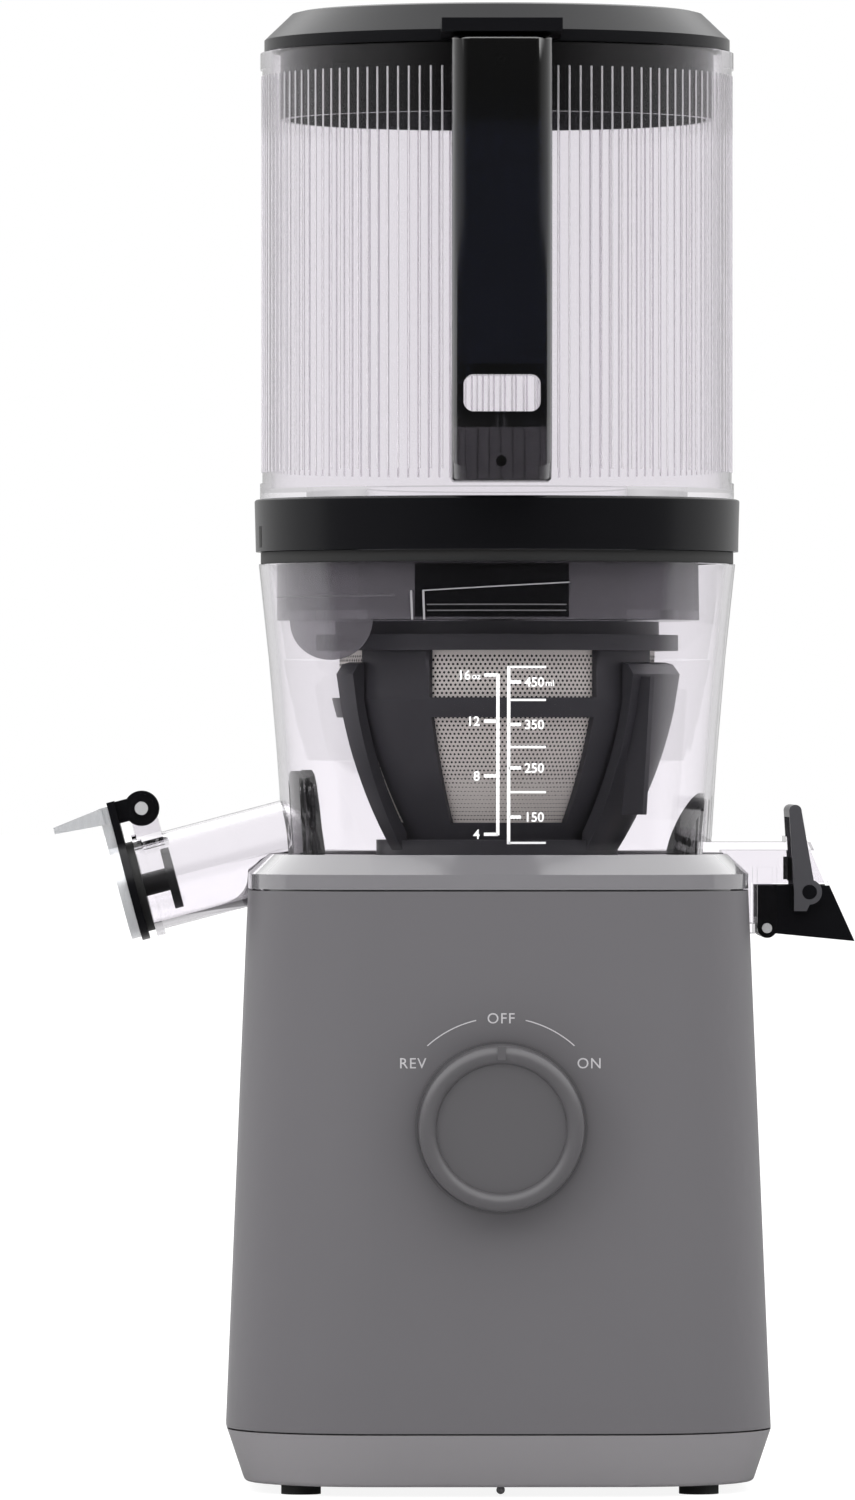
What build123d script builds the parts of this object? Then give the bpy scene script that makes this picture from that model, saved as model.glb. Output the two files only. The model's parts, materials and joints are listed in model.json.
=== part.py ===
from build123d import *

import os
from math import acos, cos, pi, radians, sin, tan

# Upright cold press juicer: a motor base, a juicing bowl that lifts off it, and a feed
# hopper that lifts off the bowl. Millimetres, +Z up. The origin is on the vertical drive
# axis, at the worktop. The hopper handle points to -Y, the juice spout to -X and the pulp
# chute to +X.

os.makedirs("parts", exist_ok=True)

# ---------------------------------------------------------------- clearances
seam = 0.5  # visible line between two casing parts
loose = 0.3  # between curved faces that don't run on each other
running = 0.06  # radial, shaft in bearing
slip = 0.1  # a part dropped into its pocket

# ---------------------------------------------------------------- motor base
foot_radius = 6.0
foot_height = 4.0
foot_recess = 1.0
foot_x = 60.0
foot_y = 62.0
base_half_width = 83.0  # at the seam between pan and shell
base_half_depth = 88.0
base_corner = 44.0
side_bulge = 2.5
front_bulge = 1.0
pan_height = 15.8
pan_inset = 5.3  # how much narrower each side of the pan is at its bottom
pan_edge = 1.5
pan_wall = 4.0
pan_floor = 3.0
lip_height = 7.0
lip_wall = 2.0
vent_plate_drop = 1.0
vent_plate_radius = 46.0
vent_count = 12
vent_circle = 28.0
vent_length = 20.0
vent_width = 4.0
shell_height = 162.5
shell_inset = 6.7  # draft of each side over the height of the shell
shell_wall = 3.0
deck_edge_height = 4.5
deck_height = 10.4
deck_inset = 6.3
well_radius = 67.5
seat_wall = 2.5
seat_floor = 3.0
seat_depth = 24.7  # from the top of the deck to the seat's floor
left_notch_half = 17.0
left_notch_depth = 19.5
right_notch_half = 22.0
right_notch_depth = 26.7
saddle_wall = 2.0

pan_bottom = foot_height - foot_recess
pan_top = pan_bottom + pan_height
shell_bottom = pan_top + seam
shell_top = shell_bottom + shell_height
deck_bottom = shell_top + seam
deck_top = deck_bottom + deck_height
seat_top = deck_top - seat_depth
seat_bottom = seat_top - seat_floor
wall_draft = shell_inset / shell_height
deck_side = base_half_width - shell_inset

# ---------------------------------------------------------------- screws
screw_radius = 2.0
screw_head_radius = 3.5
screw_head_height = 2.5
housing_screw_x = 66.0
housing_screw_y = 40.0
housing_screw_length = 32.0
boss_radius = 5.0
boss_height = 34.0

# ---------------------------------------------------------------- control knob
knob_height = 111.0
knob_radius = 25.2
knob_depth = 13.0
knob_rim = 5.8
knob_dish = 2.2
knob_flange = 1.2
knob_index_width = 2.4
knob_index_length = 4.0
knob_bore_depth = 8.0
knob_shaft_radius = 4.0
knob_shaft_hole = 6.0
switch_radius = 13.0
switch_depth = 12.0
board_width = 76.0
board_height = 58.0
board_thick = 1.6
board_gap = 2.0
board_post_radius = 3.0
board_screw_radius = 1.2
board_margin = 5.0
capacitor_radius = 5.0
capacitor_length = 9.0
relay_width = 18.0
relay_height = 14.0
relay_depth = 9.0
gland_radius = 8.0
gland_flange_radius = 10.0
gland_hole = 3.6
gland_height = 36.0
gland_depth = 12.0
gland_stand = 3.0

# ---------------------------------------------------------------- gearbox and motor
gear_module = 1.1
sun_teeth = 12
planet_teeth = 30
ring_teeth = sun_teeth + 2 * planet_teeth
planet_count = 3
planet_angles = [90 + 360 / planet_count * i for i in range(planet_count)]
gear_height = 12.0
ring_wall = 2.6
housing_wall = 7.5
housing_floor = 4.0
planet_pin_radius = 3.0
carrier_thick = 6.0
carrier_margin = 6.0
gear_gap = 1.0
cover_thick = 8.0
mount_radius = 6.0
mount_height = 14.0
mount_circle = 58.0
ear_radius = 7.5
drive_shaft_radius = 8.0
hex_across = 10.8
hex_height = 30.0
drive_bearing_radius = 14.0
drive_bearing_height = 7.0
seal_radius = 14.0
seal_height = 8.0
seal_boss_wall = 3.0
motor_radius = 42.0
motor_height = 58.0
motor_wall = 2.5
end_plate_thick = 3.0
stator_height = 36.0
stator_bore = 22.0
air_gap = 0.5
motor_shaft_radius = 4.0
motor_bearing_radius = 11.0
motor_bearing_height = 6.0
bearing_boss_wall = 3.0
winding_height = 5.0
winding_inner = 25.0
winding_outer = 36.0
fan_radius = 36.0
fan_hub_radius = 9.0
fan_height = 8.0
fan_plate = 1.6
fan_blades = 9
fan_blade_inset = 2.0
fan_gap = 3.0

pressure_angle = radians(20)
tooth_backlash = 0.24
sun_pitch = gear_module * sun_teeth / 2
planet_pitch = gear_module * planet_teeth / 2
ring_pitch = gear_module * ring_teeth / 2
planet_circle = sun_pitch + planet_pitch
ring_outer = ring_pitch + 1.2 * gear_module + ring_wall
housing_bore = ring_outer + slip
housing_radius = housing_bore + housing_wall

cover_top = seat_bottom - mount_height
cover_bottom = cover_top - cover_thick
carrier_top = cover_bottom - gear_gap
carrier_bottom = carrier_top - carrier_thick
gear_top = carrier_bottom - gear_gap
gear_bottom = gear_top - gear_height
housing_inside = gear_bottom - gear_gap
housing_bottom = housing_inside - housing_floor
motor_top = housing_bottom
motor_bottom = motor_top - motor_height
fan_top = motor_bottom - end_plate_thick - fan_gap
fan_bottom = fan_top - fan_height

# ---------------------------------------------------------------- juicing bowl
bowl_floor = 3.0
bowl_wall = 2.8
bowl_foot_radius = 64.0
bowl_waist_radius = 67.3
bowl_waist_rise = 52.6  # from the underside of the bowl
bowl_shoulder_radius = 69.9
bowl_shoulder_rise = 83.6
bowl_rim_radius = 73.0
bowl_height = 112.8
bowl_foot_edge = 3.0
tower_radius = 12.0
tower_bore = 9.0
tower_height = 14.2  # above the floor of the bowl
centre_seal_radius = 10.6
centre_seal_height = 3.0
pulp_wall_inner = 32.0
pulp_wall_outer = 35.0

bowl_bottom = seat_top + loose
bowl_inside = bowl_bottom + bowl_floor
bowl_top = bowl_bottom + bowl_height
tower_top = bowl_inside + tower_height

# juice spout and its hinged cap
spout_drop = 14.8  # degrees below the horizontal
spout_radius = 14.5
spout_bore = 12.0
spout_end_out = 31.7  # beyond the side of the deck
spout_end_rise = 14.6  # above the underside of the bowl
spout_inside = 11.3  # how far the spout reaches inside the bowl's waist
spout_flange_radius = 16.8
spout_flange_depth = 2.5
cap_gap = 2.4  # between the flange and the cap's plate, filled by the plug's rim
cap_plate_thick = 2.4
cap_plate_radius = 16.2
cap_top = 27.3  # above the spout's axis
cap_neck_half = 8.0
cap_cover_thick = 3.0
cap_cover_inset = 1.2
cap_lever_reach = 14.6
cap_lever_half = 7.5
cap_lever_thick = 2.6
plug_rim_radius = 14.0
plug_stem_radius = 3.5
plug_disc_radius = 9.4
plug_disc_thick = 2.6
plug_depth = 10.0
cap_pin_radius = 2.0
cap_pin_rise = 23.0
cap_pin_inboard = 5.2
cap_knuckle_radius = 5.4
cap_knuckle_half = 5.6
cap_ear_thick = 3.4

# pulp chute, its gate and its bail
chute_half = 20.0
chute_wall = 2.5
chute_roof_height = 27.9  # above the underside of the bowl
chute_split_height = 15.2
chute_floor_out = 2.1  # each beyond the side of the deck
chute_roof_out = 19.1
chute_slant_out = 24.6
chute_ridge_out = 11.7
chute_ridge_width = 2.0
chute_ridge_height = 1.7
tunnel_half = 14.0
gate_gap = 0.8  # between the floor of the chute and the gate
gate_tip_out = 32.5
gate_tip_drop = 2.3  # below the underside of the bowl
gate_lip_thick = 2.4
gate_hinge_in = 2.8
gate_hinge_rise = 1.7
gate_pin_radius = 1.5
gate_knuckle_radius = 3.0
gate_ear_thick = 2.4
gate_lug_height = 5.0  # how far up the chute's side each lug is joined
bail_pivot_out = 18.6
bail_pivot_rise = 12.7
bail_pivot_radius = 2.2
bail_boss_wall = 1.6
bail_top_out = 14.3
bail_top_rise = 39.3
bail_foot_out = 15.8
bail_foot_rise = 6.9
bail_width = 3.8
bail_thick = 3.0
bail_gap = 0.8
gasket_width = 1.4
gasket_height = 7.0

spout_end_x = -deck_side - spout_end_out
spout_end_z = bowl_bottom + spout_end_rise
spout_reach = -spout_end_x - bowl_waist_radius + spout_inside
chute_floor_end = deck_side + chute_floor_out
chute_roof_end = deck_side + chute_roof_out
chute_slant_end = deck_side + chute_slant_out
chute_ridge_x = deck_side + chute_ridge_out
gate_start = chute_floor_end + gate_gap
gate_tip_x = deck_side + gate_tip_out
gate_tip_z = bowl_bottom - gate_tip_drop
gate_hinge_x = gate_start + gate_hinge_in
gate_hinge_z = bowl_bottom + gate_hinge_rise
bail_pivot_x = deck_side + bail_pivot_out
bail_pivot_z = bowl_bottom + bail_pivot_rise
bail_top_x = deck_side + bail_top_out
bail_top_z = bowl_bottom + bail_top_rise
bail_foot_x = deck_side + bail_foot_out
bail_foot_z = bowl_bottom + bail_foot_rise

# ---------------------------------------------------------------- strainer, wiper, auger
wiper_module = 1.2
auger_teeth = 24
pinion_teeth = 14
wiper_ring_teeth = auger_teeth + 2 * pinion_teeth
wiper_gear_height = 5.0
pinion_post_radius = 3.2
pinion_pin_radius = 2.0
basket_foot_radius = 37.0
basket_foot_height = 11.0
wiper_arms = ((46.0, 54.0), (150.0, 54.0))  # start and span in degrees, from the front to +X
wiper_finger = (-60.5, 9.0)
blade_turn = 5.0  # how far each blade stands behind the start of its arm
strainer_foot_radius = 32.0
strainer_waist_radius = 44.5
strainer_shoulder_radius = 50.5
strainer_foot_rise = 6.4  # above the top of the wiper gears
strainer_waist_rise = 30.0
strainer_shoulder_rise = 49.0
strainer_flange_rise = 63.9
strainer_flange_margin = 5.0
strainer_flange_thick = 4.8
strainer_collar_inset = 0.9
strainer_collar_height = 4.1
strainer_wall = 2.2
mesh_wall = 0.8
skirt_radius = 28.5
skirt_wall = 2.0
window_span = 60.0
window_count = 4
window_first = -24.5  # from the front
window_sill_rise = 49.5
window_rail = 6.0
front = -90.0  # direction of the front, in degrees from +X
blade_thick = 2.0
blade_reach = 5.5
blade_root = 2.0
blade_height = 42.0
auger_core_foot = 20.0
auger_core_top = 13.0
auger_flight_thick = 4.0
auger_pitch = 34.0
auger_steps_per_turn = 30
auger_mesh_gap = 0.8
auger_pin_radius = 6.0
auger_pin_height = 12.0
auger_bush_radius = 8.7
auger_bush_height = 26.0
auger_end_gap = 1.4

wiper_gear_bottom = tower_top + loose
wiper_gear_top = wiper_gear_bottom + wiper_gear_height
auger_pitch_radius = wiper_module * auger_teeth / 2
pinion_pitch_radius = wiper_module * pinion_teeth / 2
pinion_circle = auger_pitch_radius + pinion_pitch_radius
strainer_foot = wiper_gear_top + strainer_foot_rise
strainer_waist = wiper_gear_top + strainer_waist_rise
strainer_shoulder = wiper_gear_top + strainer_shoulder_rise
strainer_flange = wiper_gear_top + strainer_flange_rise
strainer_collar = strainer_flange + strainer_flange_thick
strainer_top = strainer_collar + strainer_collar_height
strainer_flange_radius = strainer_shoulder_radius + strainer_flange_margin
strainer_collar_radius = strainer_shoulder_radius - strainer_collar_inset

# ---------------------------------------------------------------- hopper and lid
hopper_seal_height = 3.4
hopper_seal_inset = 0.6  # each inset is from the rim of the bowl
hopper_seal_gap = 0.93  # to the skirt of the feed plate
collar_height = 16.0
collar_margin_top = 1.3  # each margin is beyond the rim of the bowl
collar_margin_foot = 0.9
collar_wall = 3.6
hopper_flange_inset = 0.4
hopper_flange_height = 4.8
hopper_inset = 1.1
hopper_wall = 2.9
hopper_floor = 3.0
hopper_height = 136.5
hopper_band_inset = 0.5
hopper_band_height = 5.0
feed_hole_radius = 40.0
chimney_wall = 3.0
feed_plate_thick = 3.0
feed_plate_wall = 2.5
feed_plate_cut_x = 59.7
feed_skirt_gap = 0.9  # to the inside of the bowl, at the narrowest part of it beside the skirt
hub_radius = 11.0
hub_arm_width = 8.0
hub_height = 11.0
tongue_x = -50.0
tongue_radius = 12.2
tongue_wall = 2.2
tongue_inset = 1.0
lid_gap = 0.5
lid_inset = 1.2  # from the band of the hopper
lid_edge_height = 3.5
lid_slope = 8.4  # how much narrower the lid is at its top
lid_height = 12.0
lid_plate = 3.0
lid_skirt_gap = 2.6  # to the inside of the hopper
lid_skirt_wall = 2.4
lid_skirt_depth = 21.0
lid_hinge_out = 6.5  # beyond the band of the hopper
lid_hinge_rise = 3.0
lid_knuckle_radius = 5.0
lid_knuckle_half = 12.0
lid_ear_thick = 4.0
lid_pin_radius = 2.0
tab_width = 36.0
tab_thick = 4.0
tab_root = 2.5  # how far the tab reaches into the lid's rim
handle_width = 30.0
handle_reach = 38.0  # from the band of the hopper to the front of the grip
handle_bulge = 1.5
handle_thick = 15.0
handle_root_top = 14.0
handle_foot_height = 20.5
handle_foot_rise = 3.8
handle_slot_width = 23.0
handle_slot_height = 11.0
handle_edge = 4.0
handle_round = 1.2
grip_round = 5.5
handle_slot_round = 3.0
handle_screw_radius = 1.6

seal_bottom = bowl_top + 0.2
collar_bottom = seal_bottom + hopper_seal_height + 0.2
collar_top = collar_bottom + collar_height
hopper_bottom = collar_top + 0.1
hopper_top = hopper_bottom + hopper_height
feed_plate_bottom = strainer_top + loose
lid_bottom = hopper_top + lid_gap
lid_hinge_z = hopper_top + lid_hinge_rise
auger_top = feed_plate_bottom - auger_end_gap
hopper_seal_radius = bowl_rim_radius - hopper_seal_inset
collar_radius_top = bowl_rim_radius + collar_margin_top
collar_radius_foot = bowl_rim_radius + collar_margin_foot
hopper_flange_radius = bowl_rim_radius - hopper_flange_inset
hopper_radius = bowl_rim_radius - hopper_inset
hopper_inner = hopper_radius - hopper_wall
hopper_band_radius = bowl_rim_radius - hopper_band_inset
rim_slope = (bowl_rim_radius - bowl_shoulder_radius) / (bowl_height - bowl_shoulder_rise)
skirt_foot_rise = feed_plate_bottom - bowl_bottom - bowl_shoulder_rise
skirt_foot_bowl = bowl_shoulder_radius + skirt_foot_rise * rim_slope
feed_skirt_radius = min(skirt_foot_bowl, bowl_rim_radius) - bowl_wall - feed_skirt_gap
hopper_seal_inner = feed_skirt_radius + hopper_seal_gap
tongue_skirt_radius = feed_skirt_radius - tongue_inset
lid_radius = hopper_band_radius - lid_inset
lid_top_radius = lid_radius - lid_slope
lid_skirt_radius = hopper_inner - lid_skirt_gap
lid_hinge_y = hopper_band_radius + lid_hinge_out
handle_front = hopper_band_radius + handle_reach
handle_belly = handle_front + handle_bulge
tab_reach = handle_belly
handle_foot_bottom = hopper_bottom + handle_foot_rise


# ---------------------------------------------------------------- shared shapes
def base_outline(height, inset=0.0):
    """Rounded square section of the motor base at a height, drawn inward by an inset."""
    half_width = base_half_width - inset
    half_depth = base_half_depth - inset
    corner_x = half_width - side_bulge
    corner_y = half_depth - front_bulge
    with BuildSketch(Plane.XY.offset(height)) as outline:
        with BuildLine():
            ThreePointArc((-corner_x, -corner_y), (0, -half_depth), (corner_x, -corner_y))
            ThreePointArc((corner_x, -corner_y), (half_width, 0), (corner_x, corner_y))
            ThreePointArc((corner_x, corner_y), (0, half_depth), (-corner_x, corner_y))
            ThreePointArc((-corner_x, corner_y), (-half_width, 0), (-corner_x, -corner_y))
        make_face()
        fillet(outline.vertices(), base_corner - inset)
    return outline.sketch


def shell_outline(height, inset=0.0):
    """Section of the tapering shell at a height, drawn inward by an inset."""
    return base_outline(height, inset + (height - shell_bottom) * wall_draft)


def ring_sketch(height, outer, inner):
    """Flat ring about the drive axis at a height."""
    with BuildSketch(Plane.XY.offset(height)) as ring:
        Circle(outer)
        Circle(inner, mode=Mode.SUBTRACT)
    return ring.sketch


def disc_sketch(height, radius):
    """Flat disc about the drive axis at a height."""
    with BuildSketch(Plane.XY.offset(height)) as disc:
        Circle(radius)
    return disc.sketch


def side_sketch(*points):
    """Closed outline in the XZ plane, through points given as (x, z)."""
    with BuildSketch(Plane.XZ) as outline:
        with BuildLine():
            Polyline(*points, close=True)
        make_face()
    return outline.sketch


def involute(angle):
    """Involute function of a pressure angle."""
    return tan(angle) - angle


def gear_sketch(height, module, teeth, play, above=0.9, below=1.15, phase=0.0, centre=(0, 0)):
    """Involute gear outline: play narrows each tooth, above and below are in modules."""
    pitch = module * teeth / 2
    base = pitch * cos(pressure_angle)
    tip = pitch + above * module
    root = pitch - below * module
    half_tooth = pi / (2 * teeth) - play / (2 * pitch)
    flank_foot = max(base, root)
    points = []
    for tooth in range(teeth):
        middle = radians(phase) + 2 * pi * tooth / teeth
        flank = []
        for radius in (flank_foot, (flank_foot + tip) / 2, tip):
            swing = half_tooth + involute(pressure_angle) - involute(acos(base / radius))
            flank.append((radius, swing))
        foot = [(root, flank[0][1])] if root < flank_foot else []
        rising = foot + flank
        points += [(radius, middle - swing) for radius, swing in rising]
        points += [(radius, middle + swing) for radius, swing in reversed(rising)]
    corners = [
        (centre[0] + radius * cos(angle), centre[1] + radius * sin(angle))
        for radius, angle in points
    ]
    with BuildSketch(Plane.XY.offset(height)) as outline:
        with BuildLine():
            Polyline(*corners, close=True)
        make_face()
    return outline.sketch


def turned_plane(angle):
    """Vertical plane through the drive axis, its x axis turned from +X by an angle."""
    turn = radians(angle)
    return Plane(origin=(0, 0, 0), x_dir=(cos(turn), sin(turn), 0), z_dir=(sin(turn), -cos(turn), 0))


# ================================================================ motor base
# ---------------------------------------------------------------- rubber feet
with BuildPart() as rubber_feet:
    with BuildSketch(Plane.XY):
        with GridLocations(2 * foot_x, 2 * foot_y, 2, 2):
            Circle(foot_radius)
    extrude(amount=foot_height)
rubber_feet.part.label = "rubber_feet"
export_step(rubber_feet.part, "parts/rubber_feet.step")

# ---------------------------------------------------------------- bottom pan
vent_plate_bottom = pan_bottom - vent_plate_drop
lip_top = shell_bottom + lip_height
with BuildPart() as bottom_pan:
    loft(sections=[base_outline(pan_bottom, pan_inset), base_outline(pan_top)])
    fillet(bottom_pan.faces().sort_by(Axis.Z)[0].edges(), pan_edge)
    loft(
        sections=[
            base_outline(pan_bottom + pan_floor, pan_inset + pan_wall - 1.0),
            base_outline(pan_top, pan_wall),
        ],
        mode=Mode.SUBTRACT,
    )
    loft(
        sections=[
            base_outline(pan_top - lip_height, shell_wall + loose),
            shell_outline(lip_top, shell_wall + loose),
        ],
        mode=Mode.ADD,
    )
    loft(
        sections=[
            base_outline(pan_top - lip_height, shell_wall + loose + lip_wall),
            shell_outline(lip_top, shell_wall + loose + lip_wall),
        ],
        mode=Mode.SUBTRACT,
    )
    with BuildSketch(Plane.XY.offset(vent_plate_bottom)):
        Circle(vent_plate_radius)
    extrude(amount=vent_plate_drop + pan_floor)
    with BuildSketch(Plane.XY.offset(pan_bottom + pan_floor - 0.5)):
        with GridLocations(2 * housing_screw_x, 2 * housing_screw_y, 2, 2):
            Circle(boss_radius)
    extrude(amount=pan_height - pan_floor + 0.5)
    with BuildSketch(Plane.XY.offset(pan_bottom - pan_edge)):
        with GridLocations(2 * housing_screw_x, 2 * housing_screw_y, 2, 2):
            Circle(screw_head_radius + loose)
    extrude(amount=pan_edge + pan_floor + screw_head_height, mode=Mode.SUBTRACT)
    with BuildSketch(Plane.XY.offset(pan_bottom)):
        with GridLocations(2 * housing_screw_x, 2 * housing_screw_y, 2, 2):
            Circle(screw_radius + slip)
    extrude(amount=pan_height, mode=Mode.SUBTRACT)
    with BuildSketch(Plane.XY.offset(vent_plate_bottom)):
        with PolarLocations(vent_circle, vent_count):
            SlotOverall(vent_length, vent_width)
    extrude(amount=vent_plate_drop + pan_floor, mode=Mode.SUBTRACT)
    with BuildSketch(Plane.XY.offset(pan_bottom)):
        with GridLocations(2 * foot_x, 2 * foot_y, 2, 2):
            Circle(foot_radius + slip)
    extrude(amount=foot_recess, mode=Mode.SUBTRACT)
bottom_pan.part.label = "bottom_pan"
export_step(bottom_pan.part, "parts/bottom_pan.step")

# ---------------------------------------------------------------- body shell
shell_face_y = -(base_half_depth - (knob_height - shell_bottom) * wall_draft)
knob_plane = Plane(origin=(0, shell_face_y, knob_height), x_dir=(1, 0, 0), z_dir=(0, -1, 0))
board_y = shell_face_y + shell_wall + switch_depth + board_gap
gland_face_y = base_half_depth - (gland_height - gland_flange_radius - shell_bottom) * wall_draft
gland_plane = Plane(origin=(0, gland_face_y, gland_height), x_dir=(1, 0, 0), z_dir=(0, 1, 0))
board_plane = Plane(origin=(0, board_y, knob_height), x_dir=(1, 0, 0), z_dir=(0, -1, 0))
notch_reach = base_half_width
with BuildPart() as body_shell:
    loft(sections=[shell_outline(shell_bottom), shell_outline(shell_top)])
    loft(
        sections=[shell_outline(shell_bottom, shell_wall), shell_outline(shell_top, shell_wall)],
        mode=Mode.SUBTRACT,
    )
    with BuildSketch(Plane.XY.offset(shell_bottom)):
        with GridLocations(2 * housing_screw_x, 2 * housing_screw_y, 2, 2):
            Circle(boss_radius)
    extrude(amount=boss_height)
    with BuildSketch(Plane.XY.offset(lip_top + loose)):
        for side in (-1, 1):
            with Locations((side * (housing_screw_x + base_half_width) / 2, 0)):
                with GridLocations(base_half_width - housing_screw_x, 2 * housing_screw_y, 1, 2):
                    Rectangle(base_half_width - housing_screw_x, 3)
    extrude(amount=boss_height + shell_bottom - lip_top - loose)
    with BuildSketch(board_plane):
        with GridLocations(board_width - 2 * board_margin, board_height - 2 * board_margin, 2, 2):
            Circle(board_post_radius)
    extrude(amount=base_half_depth)
    loft(sections=[shell_outline(shell_bottom), shell_outline(shell_top)], mode=Mode.INTERSECT)
    with BuildSketch(Plane.XY.offset(shell_bottom)):
        with GridLocations(2 * housing_screw_x, 2 * housing_screw_y, 2, 2):
            Circle(screw_radius + slip)
    extrude(amount=boss_height, mode=Mode.SUBTRACT)
    with BuildSketch(board_plane):
        with GridLocations(board_width - 2 * board_margin, board_height - 2 * board_margin, 2, 2):
            Circle(board_screw_radius + slip)
    extrude(amount=switch_depth, mode=Mode.SUBTRACT)
    with BuildSketch(knob_plane):
        Circle(knob_shaft_hole)
    extrude(amount=2 * shell_wall, both=True, mode=Mode.SUBTRACT)
    with BuildSketch(gland_plane):
        Circle(gland_radius + slip)
    extrude(amount=3 * shell_wall, both=True, mode=Mode.SUBTRACT)
    with BuildSketch(Plane.XY.offset(deck_top)):
        with Locations((-notch_reach, 0)):
            Rectangle(notch_reach, 2 * left_notch_half)
    extrude(amount=-left_notch_depth, mode=Mode.SUBTRACT)
    with BuildSketch(Plane.XY.offset(deck_top)):
        with Locations((notch_reach, 0)):
            Rectangle(notch_reach, 2 * right_notch_half)
    extrude(amount=-right_notch_depth, mode=Mode.SUBTRACT)
body_shell.part.label = "body_shell"
export_step(body_shell.part, "parts/body_shell.step")

# ---------------------------------------------------------------- deck ring
deck_edge_top = deck_bottom + deck_edge_height
seat_outer = well_radius + seat_wall
notch_boxes = (
    (-1, left_notch_half, left_notch_depth),
    (1, right_notch_half, right_notch_depth),
)
saddle_reach = deck_side - shell_wall - loose
with BuildPart() as deck_ring:
    loft(sections=[base_outline(deck_bottom, shell_inset), base_outline(deck_edge_top, shell_inset)])
    loft(
        sections=[
            base_outline(deck_edge_top, shell_inset),
            base_outline(deck_top, shell_inset + deck_inset),
        ]
    )
    loft(
        sections=[
            shell_outline(shell_top - lip_height, shell_wall + loose),
            base_outline(deck_bottom, shell_inset + shell_wall + loose),
        ]
    )
    lip_inner = shell_wall + loose + lip_wall
    loft(
        sections=[
            shell_outline(shell_top - lip_height, lip_inner),
            base_outline(deck_bottom, shell_inset + lip_inner),
        ],
        mode=Mode.SUBTRACT,
    )
    # saddles that line the notches under the spout and the chute
    for side, notch_half, notch_depth in notch_boxes:
        with BuildSketch(Plane.XY.offset(deck_top - notch_depth - saddle_wall)):
            with Locations((side * saddle_reach / 2, 0)):
                Rectangle(saddle_reach, 2 * (notch_half + saddle_wall))
        extrude(amount=deck_bottom - deck_top + notch_depth + saddle_wall)
    extrude(
        disc_sketch(seat_bottom - lip_height, seat_outer + loose),
        amount=deck_bottom - seat_bottom + lip_height,
        mode=Mode.SUBTRACT,
    )
    extrude(disc_sketch(deck_top, well_radius), amount=-2 * deck_height, mode=Mode.SUBTRACT)
    for side, notch_half, notch_depth in notch_boxes:
        with BuildSketch(Plane.XY.offset(deck_top)):
            with Locations((side * notch_reach, 0)):
                Rectangle(notch_reach, 2 * notch_half)
        extrude(amount=-notch_depth, mode=Mode.SUBTRACT)
deck_ring.part.label = "deck_ring"
export_step(deck_ring.part, "parts/deck_ring.step")

# ---------------------------------------------------------------- bowl seat
seal_boss_bottom = seat_top - seal_height
with BuildPart() as bowl_seat:
    extrude(disc_sketch(seat_bottom, seat_outer), amount=deck_bottom - loose - seat_bottom)
    extrude(disc_sketch(seat_top, well_radius), amount=seat_depth, mode=Mode.SUBTRACT)
    extrude(disc_sketch(seal_boss_bottom, seal_radius + seal_boss_wall), amount=seal_height)
    extrude(disc_sketch(seal_boss_bottom, seal_radius + slip), amount=seal_height, mode=Mode.SUBTRACT)
    with BuildSketch(Plane.XY.offset(deck_top)):
        with Locations((-notch_reach, 0)):
            Rectangle(notch_reach, 2 * left_notch_half)
    extrude(amount=-left_notch_depth, mode=Mode.SUBTRACT)
    with BuildSketch(Plane.XY.offset(deck_top)):
        with Locations((notch_reach, 0)):
            Rectangle(notch_reach, 2 * right_notch_half)
    extrude(amount=-seat_depth, mode=Mode.SUBTRACT)
bowl_seat.part.label = "bowl_seat"
export_step(bowl_seat.part, "parts/bowl_seat.step")

# ---------------------------------------------------------------- housing screws
screw_head_top = pan_bottom + pan_floor + screw_head_height
with BuildPart() as housing_screws:
    with BuildSketch(Plane.XY.offset(screw_head_top - screw_head_height)):
        with GridLocations(2 * housing_screw_x, 2 * housing_screw_y, 2, 2):
            Circle(screw_head_radius)
    extrude(amount=screw_head_height)
    with BuildSketch(Plane.XY.offset(screw_head_top)):
        with GridLocations(2 * housing_screw_x, 2 * housing_screw_y, 2, 2):
            Circle(screw_radius)
    extrude(amount=housing_screw_length)
housing_screws.part.label = "housing_screws"
export_step(housing_screws.part, "parts/housing_screws.step")

# ---------------------------------------------------------------- cord gland
with BuildPart() as cord_gland:
    with BuildSketch(gland_plane):
        Circle(gland_flange_radius)
    extrude(amount=gland_stand)
    with BuildSketch(gland_plane):
        Circle(gland_radius)
    extrude(amount=-gland_depth)
    with BuildSketch(gland_plane.offset(gland_stand)):
        Circle(gland_hole)
    extrude(amount=-gland_stand - gland_depth, mode=Mode.SUBTRACT)
cord_gland.part.label = "cord_gland"
export_step(cord_gland.part, "parts/cord_gland.step")

# ---------------------------------------------------------------- circuit board
with BuildPart() as circuit_board:
    with BuildSketch(board_plane):
        Rectangle(board_width, board_height)
        with GridLocations(board_width - 2 * board_margin, board_height - 2 * board_margin, 2, 2):
            Circle(board_screw_radius + slip, mode=Mode.SUBTRACT)
    extrude(amount=-board_thick)
circuit_board.part.label = "circuit_board"
export_step(circuit_board.part, "parts/circuit_board.step")

with BuildPart() as board_components:
    with BuildSketch(board_plane):
        with GridLocations(board_width - 3 * board_margin, 2.4 * capacitor_radius, 2, 2):
            Circle(capacitor_radius)
    extrude(amount=capacitor_length)
    with BuildSketch(board_plane):
        with Locations((0, -board_height / 2 + relay_height / 2 + 1)):
            Rectangle(relay_width, relay_height)
    extrude(amount=relay_depth)
board_components.part.label = "board_components"
export_step(board_components.part, "parts/board_components.step")

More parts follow.
